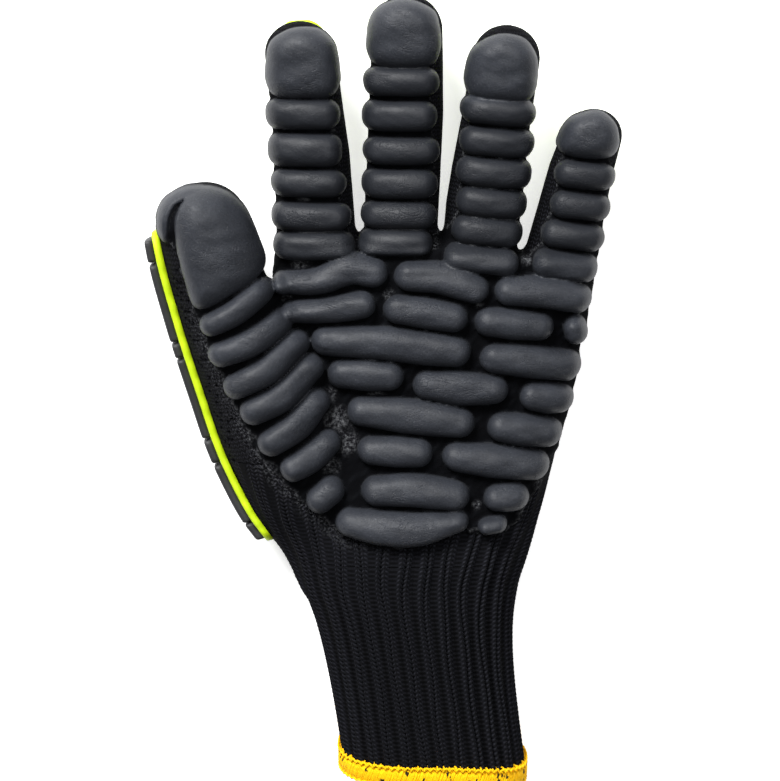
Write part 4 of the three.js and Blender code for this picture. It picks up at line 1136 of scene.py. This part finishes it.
def limb_points(limb, s, angle, grow):
    """Points at a length along a limb, an angle from its palm side and a height over the knit."""
    s, angle, grow = np.broadcast_arrays(*(np.asarray(v, float) for v in (s, angle, grow)))
    tip, end = limb["tip_radius"], limb["round"]
    rise = np.clip((s - end) / tip, 0, math.pi / 2)
    t = np.minimum(s, end) + (tip + grow) * np.sin(rise)
    ahead = unit(limb_form(limb, t + 0.5)[0] - limb_form(limb, t - 0.5)[0])
    side, up = rolled(ahead, limb["roll"])
    _, hw, hd = limb_form(limb, np.minimum(s, end))
    sideways = (hw + grow) * np.cos(rise) * blunt(np.sin(angle), 2 / LIMB_POWER)
    upwards = (hd + grow) * np.cos(rise) * blunt(np.cos(angle), 2 / LIMB_POWER)
    return limb_form(limb, t)[0] + side * sideways[..., None] + up * upwards[..., None]


def rounding(radius, distance):
    """How far a rounded edge has fallen at a distance in from it."""
    return radius - np.sqrt(np.maximum(radius * radius - (radius - np.minimum(distance, radius)) ** 2, 0))


def guard_piece(name, node, slot, material, line, start, end, width, form):
    """A moulded strip or block, flat below, on a line: a limb, an angle round it and the radius there."""
    limb, middle, radius = line
    half_length = (end - start) / 2
    n = max(int(half_length * 2 / (form["step"] * 1)), 12)
    m = 22
    s = (start + end) / 2 - np.cos(np.linspace(0, math.pi, n)) * half_length
    e = np.minimum(s - start, end - s)
    half = width / 2 - rounding(form["corner"], e) + form["wave"] * np.sin(s * 0.9) * np.clip(e / 6, 0, 1)
    across = half[:, None] * -np.cos(np.linspace(0, math.pi, m))[None]
    top = form["high"] - rounding(form["edge"], half[:, None] - np.abs(across))
    top = np.maximum(top - rounding(form["edge"], e)[:, None] * 0.85, form["low"] + 0.15)
    angle = math.radians(middle) + across / radius
    upper = limb_points(limb, s[:, None], angle, top)
    lower = limb_points(limb, s[:, None], angle, np.full_like(top, form["low"]))
    loops = np.concatenate([lower, upper[:, ::-1]], axis=1)
    loops[..., 2] = np.maximum(loops[..., 2], 0.02)
    faces = [grid_faces(n, 2 * m, False)]
    k = np.arange(m - 1)
    for base, way in ((0, -1), ((n - 1) * 2 * m, 1)):
        cap = np.stack([base + k, base + k + 1, base + 2 * m - 2 - k, base + 2 * m - 1 - k], axis=1)
        faces.append(cap[:, ::way])
    obj = mesh_object(name, loops.reshape(-1, 3), np.vstack(faces), material)
    turn_outwards(obj)
    place(obj, slot, node)


def guard(limb, start, end, angle, width, shares, radius, bare_end):
    """A bright base along a limb with a row of dark blocks on it."""
    label, line = limb["name"], (limb, angle, radius)
    guard_piece(f"strip_{label}", f"guard_{label}_base", "guard_base", BRIGHT, line, start, end, width, STRIP)
    first, row = start + BLOCK_INSET, end - start - 2 * BLOCK_INSET - bare_end
    used = 0.0
    for k, share in enumerate(shares, 1):
        low = first + row * used + BLOCK_SPACE / 2
        used += share
        high = first + row * used - BLOCK_SPACE / 2
        guard_piece(f"block_{label}_{k}", f"guard_{label}_block_{k}", "guard_block", DARK, line, low, high,
                    width - 2 * BLOCK_INSET, BLOCK)


for f in FINGERS:
    start, end = FINGER_GUARD_START * f["length"], f["round"] + math.radians(f["tip_radius"] * f["rise"])
    width = FINGER_GUARD_WIDTH * f["width"] / FINGERS[0]["width"]
    radius = float(finger_half(f, (start + end) / 2))
    guard(f, start, end, f["back"], width, FINGER_BLOCKS, radius, FINGER_BARE_END)
start, end = THUMB_GUARD[0] * THUMB_LENGTH, THUMB_GUARD[1] * THUMB_LENGTH
radius = float(np.interp((start + end) / 2, THUMB_S, THUMB_HW))
guard(THUMB, start, end, THUMB_GUARD[2], THUMB_GUARD_WIDTH, THUMB_BLOCKS, radius, 0.0)

# the hem, overlocked in yellow thread
HEM_LOOP, HEM_ARC = outline(HEM_Y, knit_radius(HEM_Y))
WRAPS = 320
TEETH = 80
SPECKS = 44  # dark specks round the hem
BAND_PROUD, BAND_MIDDLE, BAND_REACH = 0.45, 3.1, 2.9
WRAP_PROUD, WRAP_MIDDLE, WRAP_REACH, WRAP_RADIUS, WRAP_SQUASH = 0.86, 3.0, 3.3, 0.37, 0.7
UPPER_LOOPER, LOWER_LOOPER = 0.36, 0.38
THREAD_SIDES = 6


def sweep(points, radius, squash=1.0):
    """Rings round a closed path of points, with each point's way round its ring."""
    t = unit(np.roll(points, -1, axis=0) - np.roll(points, 1, axis=0))
    u = unit(np.cross(t, np.tile([0.13, 0.31, 0.94], (len(points), 1))))
    v = np.cross(t, u)
    angle = np.arange(THREAD_SIDES) / THREAD_SIDES * 2 * math.pi
    around = np.cos(angle)[None, :, None] * u[:, None] + squash * np.sin(angle)[None, :, None] * v[:, None]
    return points[:, None] + radius * around


def hem_point(share, down, out):
    """A point of the hem: its share of the way round, then mm down from the top edge and out from the knit."""
    at = share % 1 * HEM_ARC[-1]
    (x, z), (x2, z2) = (
        [np.interp(way % HEM_ARC[-1], HEM_ARC, HEM_LOOP[:, c]) for c in (0, 1)] for way in (at, at + 0.8)
    )
    nx, nz = outwards(HEM_Y, x, z, x2 - x, z2 - z)
    px = x + nx * out
    pz = np.maximum(z + nz * out, 0.6 + np.maximum(-out, 0) * 0.6)
    return np.stack([px, HEM_Y + 0.5 - down - hang(px, pz), pz], axis=-1)


def hem_band():
    """The knit's folded edge under the threads."""
    count, sides = 420, 16
    share = (np.arange(count) / count)[:, None]
    angle = (np.arange(sides) / sides * 2 * math.pi)[None]
    out = -KNIT / 2 + (KNIT / 2 + BAND_PROUD) * blunt(np.cos(angle), 0.7) + 0 * share
    down = BAND_MIDDLE - BAND_REACH * blunt(np.sin(angle), 0.7) + 0.15 * np.sin(share * 2 * math.pi * 61)
    points = hem_point(share + 0 * angle, down, out).reshape(-1, 3)
    band = mesh_object("hem_band", points, grid_faces(count, sides, True), BAND)
    turn_outwards(band)
    place(band, "hem", "cuff_hem")
    return band


def thread_piece(name, tubes, attributes):
    """One piece of several closed threads, from the rings of points of each."""
    faces, offset = [], 0
    for rings in tubes:
        faces.append(grid_faces(len(rings), THREAD_SIDES, True) + offset)
        offset += len(rings) * THREAD_SIDES
    points = np.vstack([rings.reshape(-1, 3) for rings in tubes])
    piece = mesh_object(name, points, np.vstack(faces), THREAD, attributes)
    turn_outwards(piece)
    place(piece, "hem")
    return piece


def hem_wraps(rng):
    """Threads wound over the edge side by side, with dark specks here and there."""
    turn = np.linspace(0, 2 * math.pi, 21)[:-1]
    c, s = np.cos(turn), np.sin(turn)
    round_hem = HEM_ARC[-1]
    spot_at, spot_down = rng.uniform(0, round_hem, SPECKS), rng.uniform(1.3, 4.4, SPECKS)
    ply = np.repeat(np.arange(len(turn)) * 0.55, THREAD_SIDES)
    ply += np.tile(np.arange(THREAD_SIDES) / THREAD_SIDES, len(turn))
    tubes, speck = [], []
    for k in range(WRAPS):
        base = (k + rng.normal(0, 0.07)) / WRAPS
        top = rng.normal(0, 0.07) + 0.6 * abs(math.sin(math.pi * k * TEETH / WRAPS))
        out = -KNIT / 2 + (KNIT / 2 + WRAP_PROUD + rng.normal(0, 0.05)) * blunt(c, 0.75)
        down = WRAP_MIDDLE + top / 2 - (WRAP_REACH - top / 2) * blunt(s, 0.8)
        lean = (down - WRAP_MIDDLE) * -0.0022 * np.where(c > 0, 1, -0.4) + rng.normal(0, 0.0006)
        radius = WRAP_RADIUS * (1 + rng.normal(0, 0.05))
        tubes.append(sweep(hem_point(base + lean, down, out), radius, WRAP_SQUASH))
        off = np.abs((base + lean)[:, None] % 1 * round_hem - spot_at)
        far = np.hypot(np.minimum(off, round_hem - off) / 0.5, (down[:, None] - spot_down) / 0.6).min(axis=1)
        speck.append(np.repeat(np.clip(1.5 - far, 0, 1) * (c > 0), THREAD_SIDES))
    return thread_piece("hem_wraps", tubes, {"twist": np.tile(ply, WRAPS), "speck": np.concatenate(speck)})


def hem_loopers(rng):
    """Threads that run to and fro over the top edge and along the lower one."""
    share = np.arange(TEETH * 8) / (TEETH * 8)
    tooth = np.abs((share * TEETH) % 1 * 2 - 1)
    jitter = np.interp(share * TEETH, np.arange(TEETH + 1), np.append(rng.normal(0, 0.3, TEETH), 0))
    wave = 2 * math.pi * share
    upper = hem_point(share, 0.6 - 1.2 * np.sqrt(tooth) + jitter * 0.15, 1.0 + 0.05 * np.sin(wave * 97))
    lower = hem_point(share + 0.5 / TEETH, 5.7 + 0.5 * tooth, 0.8 + 0.1 * np.sin(wave * 83))
    twist = np.tile(np.repeat(np.arange(len(share)) * 0.6, THREAD_SIDES), 2)
    tubes = [sweep(upper, UPPER_LOOPER), sweep(lower, LOWER_LOOPER)]
    return thread_piece("hem_loopers", tubes, {"twist": twist})


def hem():
    rng = np.random.default_rng(11)
    return [hem_band(), hem_wraps(rng), hem_loopers(rng)]


hem()

# stage, lights and camera, in metres
FLOOR_HALF, FLOOR_Z = 3.0, -0.0004
CAMERA_TILT, CAMERA_DISTANCE = math.radians(10), 0.9
CAMERA_TARGET = (0.00128, 0.0004, 0.033)
LENS, SENSOR = 129.8, 36


def stage():
    mesh = bpy.data.meshes.new("floor")
    corners = [(x * FLOOR_HALF, y * FLOOR_HALF, FLOOR_Z) for x, y in ((-1, -1), (1, -1), (1, 1), (-1, 1))]
    mesh.from_pydata(corners, [], [(0, 1, 2, 3)])
    floor = bpy.data.objects.new("floor", mesh)
    bpy.context.scene.collection.objects.link(floor)
    m = Nodes("pale_floor")
    mesh.materials.append(m.finish(m.ramp(m.noise(3, 2), (0.3, 0.93), (0.7, 0.95)), 0.9))
    shader = m.tree.nodes["Principled BSDF"].inputs
    shader["Emission Color"].default_value = (1, 1, 1, 1)
    shader["Emission Strength"].default_value = 0.6


def area_light(name, place_mm, target_mm, size, energy):
    light = bpy.data.lights.new(name, "AREA")
    light.shape, light.size, light.energy = "DISK", size, energy
    obj = bpy.data.objects.new(name, light)
    obj.location = Vector(place_mm) * 0.001
    obj.rotation_euler = (Vector(target_mm) - Vector(place_mm)).to_track_quat("-Z", "Y").to_euler()
    bpy.context.scene.collection.objects.link(obj)


def studio():
    world = bpy.data.worlds.new("studio")
    world.use_nodes = True
    background = world.node_tree.nodes["Background"].inputs
    background["Color"].default_value = (1, 1, 1, 1)
    background["Strength"].default_value = 0.14
    bpy.context.scene.world = world
    bpy.context.scene.view_settings.view_transform = "Standard"


def camera():
    """The photograph's view, a little from beyond the fingertips."""
    lens = bpy.data.cameras.new("camera")
    lens.lens, lens.sensor_width = LENS, SENSOR
    lens.clip_start, lens.clip_end = 0.01, 10
    obj = bpy.data.objects.new("camera", lens)
    x, y, z = CAMERA_TARGET
    obj.location = (x, y + CAMERA_DISTANCE * math.sin(CAMERA_TILT), z + CAMERA_DISTANCE * math.cos(CAMERA_TILT))
    obj.rotation_euler = (-CAMERA_TILT, 0, 0)
    bpy.context.scene.collection.objects.link(obj)
    bpy.context.scene.camera = obj


stage()
area_light("key", (-755, 1460, 1245), (0, 20, 20), 1.0, 81)
area_light("top", (300, 500, 1100), (0, 0, 20), 1.0, 9)
studio()
camera()
